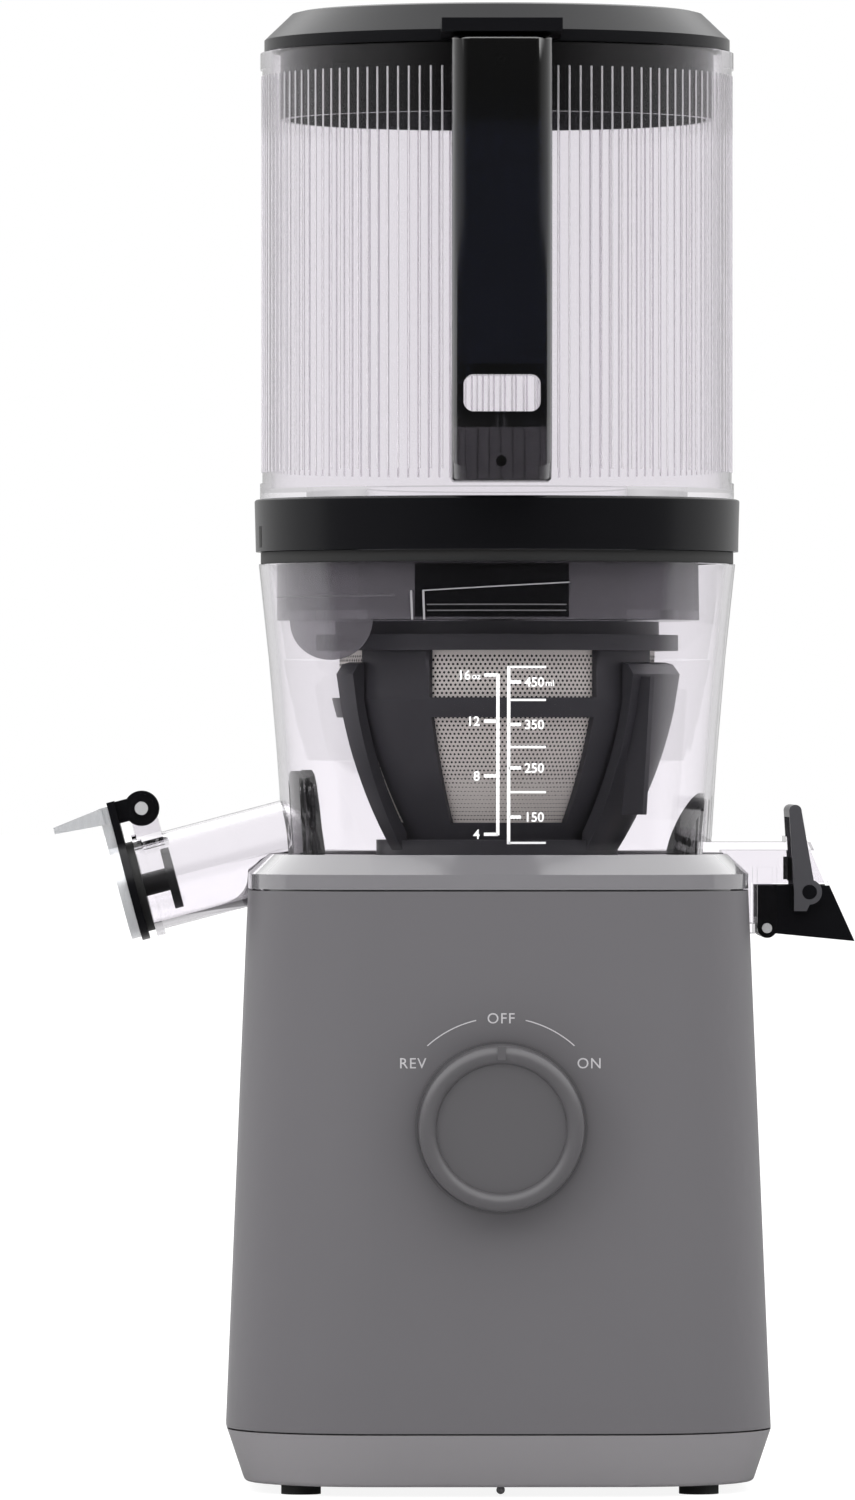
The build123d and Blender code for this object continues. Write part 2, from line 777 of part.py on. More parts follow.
board_back = board_plane.offset(-board_thick)
with BuildPart() as board_screws:
    with BuildSketch(board_back):
        with GridLocations(board_width - 2 * board_margin, board_height - 2 * board_margin, 2, 2):
            Circle(2 * board_screw_radius)
    extrude(amount=-board_screw_radius)
    with BuildSketch(board_back):
        with GridLocations(board_width - 2 * board_margin, board_height - 2 * board_margin, 2, 2):
            Circle(board_screw_radius)
    extrude(amount=switch_depth - board_gap)
board_screws.part.label = "board_screws"
export_step(board_screws.part, "parts/board_screws.step")

# ---------------------------------------------------------------- rotary switch and knob
knob_back = 2 * seam + knob_radius * wall_draft  # clears the drafted wall at the knob's foot
switch_front = -shell_wall - seam - switch_radius * wall_draft
with BuildPart() as rotary_switch:
    with BuildSketch(knob_plane.offset(switch_front)):
        Circle(switch_radius)
        Circle(knob_shaft_radius + running, mode=Mode.SUBTRACT)
    extrude(amount=-switch_depth + seam)
rotary_switch.part.label = "rotary_switch"
export_step(rotary_switch.part, "parts/rotary_switch.step")

with BuildPart() as switch_shaft:
    with BuildSketch(knob_plane.offset(switch_front - switch_depth / 2)):
        Circle(knob_shaft_radius)
    extrude(amount=switch_depth / 2 - switch_front + knob_back + knob_bore_depth - slip)
switch_shaft.part.label = "switch_shaft"
export_step(switch_shaft.part, "parts/switch_shaft.step")

knob_front = knob_back + knob_depth
knob_section = Plane(origin=(0, shell_face_y, knob_height), x_dir=(1, 0, 0), z_dir=(0, 0, -1))
knob_axis = Axis((0, shell_face_y, knob_height), (0, -1, 0))
dish_radius = knob_radius - knob_rim
with BuildPart() as control_knob:
    with BuildSketch(knob_section):
        with BuildLine():
            Polyline(
                (0, knob_back),
                (knob_radius + 0.8, knob_back),
                (knob_radius + 0.8, knob_back + knob_flange),
                (knob_radius, knob_back + knob_flange),
                (knob_radius - 0.4, knob_front - knob_dish),
            )
            ThreePointArc(
                (knob_radius - 0.4, knob_front - knob_dish),
                (knob_radius - knob_rim * 0.42, knob_front),
                (dish_radius, knob_front - knob_dish),
            )
            Polyline(
                (dish_radius, knob_front - knob_dish),
                (0, knob_front - knob_dish),
                (0, knob_back),
            )
        make_face()
    revolve(axis=knob_axis)
    with BuildSketch(knob_plane.offset(knob_back)):
        Circle(knob_shaft_radius + slip)
    extrude(amount=knob_bore_depth, mode=Mode.SUBTRACT)
    with BuildSketch(knob_plane.offset(knob_front - knob_dish - 0.6)):
        with Locations((0, knob_radius - knob_index_length / 2 - 0.6)):
            Rectangle(knob_index_width, knob_index_length)
    extrude(amount=knob_dish + 0.9)
control_knob.part.label = "control_knob"
export_step(control_knob.part, "parts/control_knob.step")

# ================================================================ motor and gearbox
# ---------------------------------------------------------------- motor can and end plate
motor_inner = motor_radius - motor_wall
bearing_pocket = motor_bearing_radius + slip
upper_bearing_bottom = motor_top - motor_wall - motor_bearing_height
lower_bearing_bottom = motor_bottom
shaft_hole = motor_shaft_radius + seam
with BuildPart() as motor_can:
    extrude(ring_sketch(motor_bottom, motor_radius, motor_inner), amount=motor_height)
    extrude(ring_sketch(motor_top - motor_wall, motor_inner + slip, shaft_hole), amount=motor_wall)
    pocket_ring = ring_sketch(upper_bearing_bottom, bearing_pocket + bearing_boss_wall, bearing_pocket)
    extrude(pocket_ring, amount=motor_bearing_height + slip)
motor_can.part.label = "motor_can"
export_step(motor_can.part, "parts/motor_can.step")

with BuildPart() as motor_end_plate:
    extrude(
        ring_sketch(motor_bottom - end_plate_thick, motor_radius, shaft_hole),
        amount=end_plate_thick,
    )
    pocket_ring = ring_sketch(motor_bottom - slip, bearing_pocket + bearing_boss_wall, bearing_pocket)
    extrude(pocket_ring, amount=motor_bearing_height + slip)
motor_end_plate.part.label = "motor_end_plate"
export_step(motor_end_plate.part, "parts/motor_end_plate.step")

with BuildPart() as motor_bearings:
    for bearing_bottom in (lower_bearing_bottom, upper_bearing_bottom):
        extrude(
            ring_sketch(bearing_bottom, motor_bearing_radius, motor_shaft_radius + running),
            amount=motor_bearing_height,
        )
motor_bearings.part.label = "motor_bearings"
export_step(motor_bearings.part, "parts/motor_bearings.step")

# ---------------------------------------------------------------- stator, windings, rotor
stator_bottom = (motor_bottom + motor_top - motor_wall - stator_height) / 2
stator_top = stator_bottom + stator_height
with BuildPart() as motor_stator:
    extrude(ring_sketch(stator_bottom, motor_inner - slip, stator_bore), amount=stator_height)
motor_stator.part.label = "motor_stator"
export_step(motor_stator.part, "parts/motor_stator.step")

with BuildPart() as motor_windings:
    for winding_bottom in (stator_bottom - winding_height, stator_top):
        extrude(ring_sketch(winding_bottom, winding_outer, winding_inner), amount=winding_height)
motor_windings.part.label = "motor_windings"
export_step(motor_windings.part, "parts/motor_windings.step")

with BuildPart() as motor_rotor:
    extrude(disc_sketch(fan_bottom, motor_shaft_radius), amount=gear_top - fan_bottom)
    extrude(disc_sketch(stator_bottom, stator_bore - air_gap), amount=stator_height)
motor_rotor.part.label = "motor_rotor"
export_step(motor_rotor.part, "parts/motor_rotor.step")

with BuildPart() as cooling_fan:
    extrude(disc_sketch(fan_top - fan_plate, fan_radius), amount=fan_plate)
    extrude(disc_sketch(fan_bottom, fan_hub_radius), amount=fan_height)
    with BuildSketch(Plane.XY.offset(fan_bottom)):
        with PolarLocations((fan_hub_radius + fan_radius) / 2 - fan_blade_inset, fan_blades):
            Rectangle(fan_radius - fan_hub_radius, fan_plate)
    extrude(amount=fan_height - fan_plate / 2)
    extrude(disc_sketch(fan_bottom, motor_shaft_radius + slip), amount=fan_height, mode=Mode.SUBTRACT)
cooling_fan.part.label = "cooling_fan"
export_step(cooling_fan.part, "parts/cooling_fan.step")

with BuildPart() as sun_gear:
    extrude(gear_sketch(gear_bottom, gear_module, sun_teeth, tooth_backlash), amount=gear_height)
    extrude(
        disc_sketch(gear_bottom, motor_shaft_radius + slip / 2),
        amount=gear_height,
        mode=Mode.SUBTRACT,
    )
sun_gear.part.label = "sun_gear"
export_step(sun_gear.part, "parts/sun_gear.step")

# ---------------------------------------------------------------- gearbox
with BuildPart() as gearbox_housing:
    extrude(disc_sketch(housing_bottom, housing_radius), amount=cover_bottom - housing_bottom)
    extrude(
        disc_sketch(housing_inside, housing_bore),
        amount=cover_bottom - housing_inside,
        mode=Mode.SUBTRACT,
    )
    extrude(disc_sketch(housing_bottom, shaft_hole), amount=housing_floor, mode=Mode.SUBTRACT)
    with BuildSketch(Plane.XY.offset(cover_bottom)):
        with PolarLocations(housing_radius - housing_wall / 2, 4):
            Circle(screw_radius + slip)
    extrude(amount=-2 * gear_height, mode=Mode.SUBTRACT)
gearbox_housing.part.label = "gearbox_housing"
export_step(gearbox_housing.part, "parts/gearbox_housing.step")

ring_phase = 180 / ring_teeth
with BuildPart() as ring_gear:
    extrude(disc_sketch(housing_inside, ring_outer), amount=gear_top - housing_inside)
    extrude(
        gear_sketch(
            housing_inside, gear_module, ring_teeth, -tooth_backlash, above=1.2, below=0.75, phase=ring_phase
        ),
        amount=gear_top - housing_inside,
        mode=Mode.SUBTRACT,
    )
ring_gear.part.label = "ring_gear"
export_step(ring_gear.part, "parts/ring_gear.step")

for number, planet_angle in enumerate(planet_angles, start=1):
    planet_x = planet_circle * cos(radians(planet_angle))
    planet_y = planet_circle * sin(radians(planet_angle))
    with BuildPart() as planet_gear:
        extrude(
            gear_sketch(
                gear_bottom,
                gear_module,
                planet_teeth,
                tooth_backlash,
                phase=planet_angle + 180 / planet_teeth,
                centre=(planet_x, planet_y),
            ),
            amount=gear_height,
        )
        with Locations((planet_x, planet_y, gear_top)):
            Hole(planet_pin_radius + running)
    planet_gear.part.label = f"planet_gear_{number}"
    export_step(planet_gear.part, f"parts/planet_gear_{number}.step")

with BuildPart() as planet_pins:
    with BuildSketch(Plane.XY.offset(gear_bottom)):
        with PolarLocations(planet_circle, planet_count, start_angle=planet_angles[0]):
            Circle(planet_pin_radius)
    extrude(amount=carrier_top - gear_bottom)
planet_pins.part.label = "planet_pins"
export_step(planet_pins.part, "parts/planet_pins.step")

carrier_radius = planet_circle + planet_pin_radius + carrier_margin
with BuildPart() as planet_carrier:
    with BuildSketch(Plane.XY.offset(carrier_bottom)):
        Circle(carrier_radius)
        Circle(drive_shaft_radius + slip / 2, mode=Mode.SUBTRACT)
        with PolarLocations(planet_circle, planet_count, start_angle=planet_angles[0]):
            Circle(planet_pin_radius + slip / 2, mode=Mode.SUBTRACT)
    extrude(amount=carrier_thick)
planet_carrier.part.label = "planet_carrier"
export_step(planet_carrier.part, "parts/planet_carrier.step")

hex_bottom = seat_top + loose
with BuildPart() as drive_shaft:
    extrude(disc_sketch(carrier_bottom, drive_shaft_radius), amount=hex_bottom - carrier_bottom)
    with BuildSketch(Plane.XY.offset(hex_bottom)):
        RegularPolygon(hex_across / 2, 6, major_radius=False)
    extrude(amount=hex_height)
    chamfer(drive_shaft.faces().sort_by(Axis.Z)[-1].edges(), 0.8)
drive_shaft.part.label = "drive_shaft"
export_step(drive_shaft.part, "parts/drive_shaft.step")

with BuildPart() as gearbox_cover:
    with BuildSketch(Plane.XY.offset(cover_bottom)):
        Circle(housing_radius)
        with PolarLocations(mount_circle, 4, start_angle=45):
            Circle(ear_radius)
        with PolarLocations(mount_circle - ear_radius, 4, start_angle=45):
            Rectangle(2 * ear_radius, 2 * ear_radius)
        with PolarLocations(housing_radius - housing_wall / 2, 4):
            Circle(screw_radius + slip, mode=Mode.SUBTRACT)
        Circle(drive_shaft_radius + seam, mode=Mode.SUBTRACT)
    extrude(amount=cover_thick)
    extrude(
        disc_sketch(cover_top - drive_bearing_height, drive_bearing_radius + slip),
        amount=drive_bearing_height,
        mode=Mode.SUBTRACT,
    )
gearbox_cover.part.label = "gearbox_cover"
export_step(gearbox_cover.part, "parts/gearbox_cover.step")

with BuildPart() as drive_bearing:
    extrude(
        ring_sketch(cover_top - drive_bearing_height, drive_bearing_radius, drive_shaft_radius + running),
        amount=drive_bearing_height,
    )
drive_bearing.part.label = "drive_bearing"
export_step(drive_bearing.part, "parts/drive_bearing.step")

with BuildPart() as gearbox_screws:
    with BuildSketch(Plane.XY.offset(cover_top)):
        with PolarLocations(housing_radius - housing_wall / 2, 4):
            Circle(screw_head_radius)
    extrude(amount=screw_head_height)
    with BuildSketch(Plane.XY.offset(cover_top)):
        with PolarLocations(housing_radius - housing_wall / 2, 4):
            Circle(screw_radius)
    extrude(amount=-cover_thick - gear_height)
gearbox_screws.part.label = "gearbox_screws"
export_step(gearbox_screws.part, "parts/gearbox_screws.step")

with BuildPart() as vibration_mounts:
    with BuildSketch(Plane.XY.offset(cover_top)):
        with PolarLocations(mount_circle, 4, start_angle=45):
            Circle(mount_radius)
    extrude(amount=mount_height)
vibration_mounts.part.label = "vibration_mounts"
export_step(vibration_mounts.part, "parts/vibration_mounts.step")

with BuildPart() as shaft_seal:
    extrude(
        ring_sketch(seal_boss_bottom, seal_radius, drive_shaft_radius + running),
        amount=seal_height,
    )
shaft_seal.part.label = "shaft_seal"
export_step(shaft_seal.part, "parts/shaft_seal.step")

# ================================================================ juicing bowl
bowl_waist = bowl_bottom + bowl_waist_rise
bowl_shoulder = bowl_bottom + bowl_shoulder_rise
spout_angle = radians(spout_drop)
outward = (-cos(spout_angle), 0, -sin(spout_angle))
spout_plane = Plane(origin=(spout_end_x, 0, spout_end_z), x_dir=(0, -1, 0), z_dir=outward)
spout_side = Plane(origin=(spout_end_x, 0, spout_end_z), x_dir=outward, z_dir=(0, 1, 0))
cap_pin_spot = (-cap_pin_inboard, cap_pin_rise)
ear_inner = cap_knuckle_half + loose
ear_outer = ear_inner + cap_ear_thick
chute_roof = bowl_bottom + chute_roof_height
chute_split = bowl_bottom + chute_split_height
tunnel_roof = tower_top
gate_ear_inner = chute_half + loose
slant = (chute_slant_end - chute_roof_end) / (chute_roof - chute_split)
bore_half = chute_half - chute_wall
tunnel_bore = tunnel_half - chute_wall
chute_ceiling = chute_roof - chute_wall


def bowl_profile(inset, floor, roof):
    """Half section of the bowl's wall, drawn inward by an inset, from a floor to a roof."""
    return side_sketch(
        (0, floor),
        (bowl_foot_radius - inset, floor),
        (bowl_waist_radius - inset, bowl_waist),
        (bowl_shoulder_radius - inset, bowl_shoulder),
        (bowl_rim_radius - inset, roof),
        (0, roof),
    )


with BuildPart() as juice_bowl:
    revolve(profiles=bowl_profile(0, bowl_bottom, bowl_top), axis=Axis.Z)
    foot_edge = juice_bowl.faces().sort_by(Axis.Z)[0].edges()
    fillet(foot_edge, bowl_foot_edge)
    # outside of the juice spout, with its end flange and the ears for the cap's pin
    with BuildSketch(spout_plane):
        Circle(spout_flange_radius)
    extrude(amount=-spout_flange_depth)
    with BuildSketch(spout_plane):
        Circle(spout_radius)
    extrude(amount=-spout_reach)
    with BuildSketch(spout_side):
        with BuildLine():
            Polyline(
                (-cap_pin_inboard + cap_knuckle_radius - 1.4, cap_pin_rise),
                (-cap_pin_inboard + cap_knuckle_radius - 1.4, spout_bore + 1),
                (-cap_pin_inboard - cap_knuckle_radius + 1.4, spout_bore + 1),
                (-cap_pin_inboard - cap_knuckle_radius + 1.4, cap_pin_rise),
                close=True,
            )
        make_face()
        with Locations(cap_pin_spot):
            Circle(cap_knuckle_radius - 1.4)
    extrude(amount=ear_outer, both=True)
    with BuildSketch(spout_side):
        with Locations((-cap_pin_inboard, spout_radius + loose + cap_pin_rise)):
            Rectangle(4 * cap_knuckle_radius, 2 * cap_pin_rise)
    extrude(amount=ear_inner, both=True, mode=Mode.SUBTRACT)
    with BuildSketch(spout_side):
        with Locations(cap_pin_spot):
            Circle(cap_pin_radius + running)
    extrude(amount=ear_outer, both=True, mode=Mode.SUBTRACT)
    # outside of the pulp chute: a full duct first, then a roof that overhangs the gate
    with BuildSketch(Plane.XZ):
        with BuildLine():
            Polyline(
                (0, bowl_bottom),
                (chute_floor_end, bowl_bottom),
                (chute_floor_end, chute_split),
                (chute_slant_end, chute_split),
                (chute_roof_end, chute_roof),
                (0, chute_roof),
                close=True,
            )
        make_face()
        with Locations((chute_ridge_x + chute_ridge_width / 2, chute_roof)):
            Rectangle(chute_ridge_width, 2 * chute_ridge_height)
    extrude(amount=chute_half, both=True)
    # lugs that hang from the chute's roof and hold the gate's pin
    with BuildSketch(Plane.XZ):
        with Locations((gate_hinge_x, (gate_hinge_z + chute_split + gate_lug_height) / 2)):
            Rectangle(2 * gate_knuckle_radius, chute_split + gate_lug_height - gate_hinge_z)
        with Locations((gate_hinge_x, gate_hinge_z)):
            Circle(gate_knuckle_radius)
    extrude(amount=gate_ear_inner + gate_ear_thick, both=True)
    with BuildSketch(Plane.XZ):
        with Locations((gate_hinge_x, chute_split - chute_split_height)):
            Rectangle(2 * (gate_hinge_x - chute_floor_end), 2 * chute_split_height)
    extrude(amount=gate_ear_inner, both=True, mode=Mode.SUBTRACT)
    with BuildSketch(Plane.XZ):
        with Locations((gate_hinge_x, gate_hinge_z)):
            Circle(gate_pin_radius + running)
    extrude(amount=gate_ear_inner + gate_ear_thick, both=True, mode=Mode.SUBTRACT)
    # inside of the bowl
    revolve(
        profiles=bowl_profile(bowl_wall, bowl_inside, bowl_top),
        axis=Axis.Z,
        mode=Mode.SUBTRACT,
    )
    # wall that parts juice from pulp, the tower and the post of the wiper's pinion
    extrude(ring_sketch(bowl_bottom, pulp_wall_outer, pulp_wall_inner), amount=tunnel_roof - bowl_bottom)
    extrude(disc_sketch(bowl_bottom, tower_radius), amount=tower_top - bowl_bottom)
    with BuildSketch(Plane.XY.offset(bowl_inside - seam)):
        with Locations((0, pinion_circle)):
            Circle(pinion_post_radius)
    extrude(amount=tower_top - bowl_inside + seam)
    with BuildSketch(Plane.XY.offset(tower_top - seam)):
        with Locations((0, pinion_circle)):
            Circle(pinion_pin_radius)
    extrude(amount=wiper_gear_height + loose + seam)
    # tunnel that carries pulp under the juice to the chute
    with BuildSketch(Plane.XZ):
        with BuildLine():
            Polyline(
                (pulp_wall_inner + 0.4, bowl_bottom),
                (bowl_foot_radius - 1, bowl_bottom),
                (bowl_foot_radius - 1, tunnel_roof),
                (pulp_wall_inner + 0.4, tunnel_roof),
                close=True,
            )
        make_face()
    extrude(amount=tunnel_half, both=True)
    with BuildSketch(Plane.XZ):
        with BuildLine():
            Polyline(
                (pulp_wall_inner - bowl_wall, bowl_inside),
                (chute_floor_end + 1, bowl_inside),
                (chute_floor_end + 1, tunnel_roof - chute_wall),
                (pulp_wall_inner - bowl_wall, tunnel_roof - chute_wall),
                close=True,
            )
        make_face()
    extrude(amount=tunnel_bore, both=True, mode=Mode.SUBTRACT)
    # inside of the chute, open at its slanted end and below its roof
    with BuildSketch(Plane.XZ):
        with BuildLine():
            Polyline(
                (bowl_waist_radius + 1, bowl_inside),
                (chute_floor_end + 1, bowl_inside),
                (chute_floor_end + 1, chute_split - 1),
                (chute_slant_end + 1, chute_split - 1),
                (chute_slant_end + 1, chute_ceiling),
                (bowl_waist_radius + 1, chute_ceiling),
                close=True,
            )
        make_face()
    extrude(amount=bore_half, both=True, mode=Mode.SUBTRACT)
    # bores of the spout and of the tower
    with BuildSketch(spout_plane):
        Circle(spout_bore)
    extrude(amount=-spout_reach, mode=Mode.SUBTRACT)
    extrude(disc_sketch(bowl_bottom, tower_bore), amount=tower_top - bowl_bottom, mode=Mode.SUBTRACT)
    extrude(
        disc_sketch(tower_top - centre_seal_height, centre_seal_radius + slip),
        amount=centre_seal_height,
        mode=Mode.SUBTRACT,
    )
juice_bowl.part.label = "juice_bowl"
export_step(juice_bowl.part, "parts/juice_bowl.step")

with BuildPart() as centre_seal:
    extrude(
        ring_sketch(tower_top - centre_seal_height, centre_seal_radius, auger_bush_radius + slip),
        amount=centre_seal_height,
    )
centre_seal.part.label = "centre_seal"
export_step(centre_seal.part, "parts/centre_seal.step")

# ---------------------------------------------------------------- hinged juice cap
cap_plate_top = cap_gap + cap_plate_thick
cap_cover_top = cap_plate_top + cap_cover_thick
with BuildPart() as cap_plate:
    with BuildSketch(spout_plane.offset(cap_gap)):
        Circle(cap_plate_radius)
        with Locations((0, cap_top / 2)):
            Rectangle(2 * cap_neck_half, cap_top)
    extrude(amount=cap_plate_thick)
    with BuildSketch(spout_side):
        with Locations(cap_pin_spot):
            Circle(cap_knuckle_radius)
        with Locations(((cap_plate_top - cap_pin_inboard) / 2, cap_pin_rise + 0.6)):
            Rectangle(cap_plate_top + cap_pin_inboard, 2 * cap_knuckle_radius - 4)
    extrude(amount=cap_knuckle_half, both=True)
    with BuildSketch(spout_side):
        with Locations(cap_pin_spot):
            Circle(cap_pin_radius + running)
    extrude(amount=cap_knuckle_half, both=True, mode=Mode.SUBTRACT)
    with BuildSketch(spout_plane.offset(cap_gap)):
        Circle(plug_stem_radius + slip)
    extrude(amount=cap_plate_thick, mode=Mode.SUBTRACT)
cap_plate.part.label = "cap_plate"
export_step(cap_plate.part, "parts/cap_plate.step")

with BuildPart() as cap_cover:
    with BuildSketch(spout_plane.offset(cap_plate_top)):
        Circle(cap_plate_radius - cap_cover_inset)
        with Locations((0, (cap_top - cap_cover_inset) / 2)):
            Rectangle(2 * (cap_neck_half - cap_cover_inset), cap_top - cap_cover_inset)
    extrude(amount=cap_cover_thick)
    with BuildSketch(spout_side):
        with BuildLine():
            Polyline(
                (cap_cover_top - 1, cap_top - cap_cover_inset),
                (cap_cover_top + cap_lever_reach, cap_top - cap_lever_thick - 0.6),
                (cap_cover_top + cap_lever_reach, cap_top - 2 * cap_lever_thick),
                (cap_cover_top - 1, cap_top - cap_cover_inset - 2 * cap_lever_thick),
                close=True,
            )
        make_face()
    extrude(amount=cap_lever_half, both=True)
cap_cover.part.label = "cap_cover"
export_step(cap_cover.part, "parts/cap_cover.step")

with BuildPart() as cap_plug:
    with BuildSketch(spout_plane.offset(slip)):
        Circle(plug_rim_radius)
    extrude(amount=cap_gap - slip)
    with BuildSketch(spout_plane.offset(cap_plate_top)):
        Circle(plug_stem_radius)
    extrude(amount=-cap_plate_top - plug_depth)
    with BuildSketch(spout_plane.offset(-plug_depth)):
        Circle(plug_disc_radius)
    extrude(amount=plug_disc_thick)
cap_plug.part.label = "cap_plug"
export_step(cap_plug.part, "parts/cap_plug.step")

with BuildPart() as cap_hinge_pin:
    with BuildSketch(spout_side):
        with Locations(cap_pin_spot):
            Circle(cap_pin_radius)
    extrude(amount=ear_outer, both=True)
cap_hinge_pin.part.label = "cap_hinge_pin"
export_step(cap_hinge_pin.part, "parts/cap_hinge_pin.step")

# ---------------------------------------------------------------- pulp gate and bail
gate_top = chute_split - seam
gate_front = chute_slant_end + (chute_split - gate_top) * slant
bail_inner = chute_half + bail_gap
bail_outer = bail_inner + bail_thick
gate_floor_low = bowl_bottom + loose
gate_floor_high = gate_hinge_z + gate_knuckle_radius + loose
with BuildPart() as pulp_gate:
    with BuildSketch(Plane.XZ):
        with BuildLine():
            Polyline(
                (gate_start, gate_top),
                (gate_front, gate_top),
                (gate_tip_x, gate_tip_z),
                (gate_hinge_x, gate_floor_low),
                (gate_start, gate_floor_low),
                close=True,
            )
        make_face()
        with Locations((gate_hinge_x, gate_hinge_z)):
            Circle(gate_knuckle_radius)
    extrude(amount=chute_half, both=True)
    with BuildSketch(Plane.XZ):
        with Locations((bail_pivot_x, bail_pivot_z)):
            Circle(bail_pivot_radius)
    extrude(amount=bail_outer, both=True)
    with BuildSketch(Plane.XZ):
        with BuildLine():
            Polyline(
                (gate_start - 1, bail_pivot_z + 2 * bail_pivot_radius),
                (gate_tip_x + 1, bail_pivot_z + 2 * bail_pivot_radius),
                (gate_tip_x + 1, gate_tip_z + gate_lip_thick - 0.5),
                (gate_hinge_x + gate_knuckle_radius, gate_floor_high - 0.5),
                (gate_start - 1, gate_floor_high),
                close=True,
            )
        make_face()
    extrude(amount=bore_half, both=True, mode=Mode.SUBTRACT)
    with BuildSketch(Plane.XZ):
        with Locations((gate_hinge_x, gate_hinge_z)):
            Circle(gate_pin_radius + running)
    extrude(amount=chute_half, both=True, mode=Mode.SUBTRACT)
pulp_gate.part.label = "pulp_gate"
export_step(pulp_gate.part, "parts/pulp_gate.step")

with BuildPart() as gate_hinge_pin:
    with BuildSketch(Plane.XZ):
        with Locations((gate_hinge_x, gate_hinge_z)):
            Circle(gate_pin_radius)
    extrude(amount=gate_ear_inner + gate_ear_thick, both=True)
gate_hinge_pin.part.label = "gate_hinge_pin"
export_step(gate_hinge_pin.part, "parts/gate_hinge_pin.step")

with BuildPart() as bail_latch:
    with BuildSketch(Plane.XZ):
        with BuildLine():
            Polyline(
                (bail_top_x - bail_width / 2, bail_top_z - bail_width / 2),
                (bail_top_x + bail_width / 2, bail_top_z - bail_width / 2),
                (bail_pivot_x + bail_width / 2, bail_pivot_z),
                (bail_foot_x + bail_width / 2, bail_foot_z),
                (bail_foot_x - bail_width / 2, bail_foot_z),
                (bail_foot_x - bail_width / 2, bail_pivot_z),
                close=True,
            )
        make_face()
        with Locations((bail_top_x, bail_top_z - bail_width / 2)):
            Circle(bail_width / 2)
        with Locations((bail_pivot_x, bail_pivot_z)):
            Circle(bail_pivot_radius + bail_boss_wall)
    extrude(amount=bail_outer, both=True)
    with BuildSketch(Plane.XZ):
        with Locations((bail_top_x, bail_foot_z - bail_width)):
            Rectangle(2 * (bail_pivot_x - deck_side), 2 * (bail_top_z - bail_foot_z))
    extrude(amount=bail_inner, both=True, mode=Mode.SUBTRACT)
    with BuildSketch(Plane.XZ):
        with Locations((bail_pivot_x, bail_pivot_z)):
            Circle(bail_pivot_radius + running)
    extrude(amount=bail_outer, both=True, mode=Mode.SUBTRACT)
bail_latch.part.label = "bail_latch"
export_step(bail_latch.part, "parts/bail_latch.step")

with BuildPart() as chute_gasket:
    for gasket_y in (-bore_half, bore_half - gasket_width):
        with BuildSketch(Plane.XZ.offset(-gasket_y)):
            with Locations((chute_ridge_x + chute_ridge_width / 2, chute_split + gasket_height / 2 + 1)):
                Rectangle(gasket_width, gasket_height)
        extrude(amount=-gasket_width)
chute_gasket.part.label = "chute_gasket"
export_step(chute_gasket.part, "parts/chute_gasket.step")

# ---------------------------------------------------------------- wiper drive
with BuildPart() as wiper_pinion:
    extrude(
        gear_sketch(
            wiper_gear_bottom,
            wiper_module,
            pinion_teeth,
            tooth_backlash,
            phase=90 + 180 / pinion_teeth,
            centre=(0, pinion_circle),
        ),
        amount=wiper_gear_height,
    )
    with Locations((0, pinion_circle, wiper_gear_top)):
        Hole(pinion_pin_radius + running)
wiper_pinion.part.label = "wiper_pinion"
export_step(wiper_pinion.part, "parts/wiper_pinion.step")


# ---------------------------------------------------------------- strainer
def strainer_section(outer_inset, inner_inset, foot, top):
    """Half section of a wall that follows the strainer, between two insets."""
    foot_radius_here = strainer_foot_radius
    with BuildSketch(Plane.XZ) as section:
        with BuildLine():
            ThreePointArc(
                (foot_radius_here - outer_inset, foot),
                (strainer_waist_radius - outer_inset, strainer_waist),
                (strainer_shoulder_radius - outer_inset, strainer_shoulder),
            )
            Polyline(
                (strainer_shoulder_radius - outer_inset, strainer_shoulder),
                (strainer_shoulder_radius - outer_inset, top),
                (strainer_shoulder_radius - inner_inset, top),
                (strainer_shoulder_radius - inner_inset, strainer_shoulder),
            )
            ThreePointArc(
                (strainer_shoulder_radius - inner_inset, strainer_shoulder),
                (strainer_waist_radius - inner_inset, strainer_waist),
                (foot_radius_here - inner_inset, foot),
            )
            Line(
                (foot_radius_here - inner_inset, foot),
                (foot_radius_here - outer_inset, foot),
            )
        make_face()
    return section.sketch


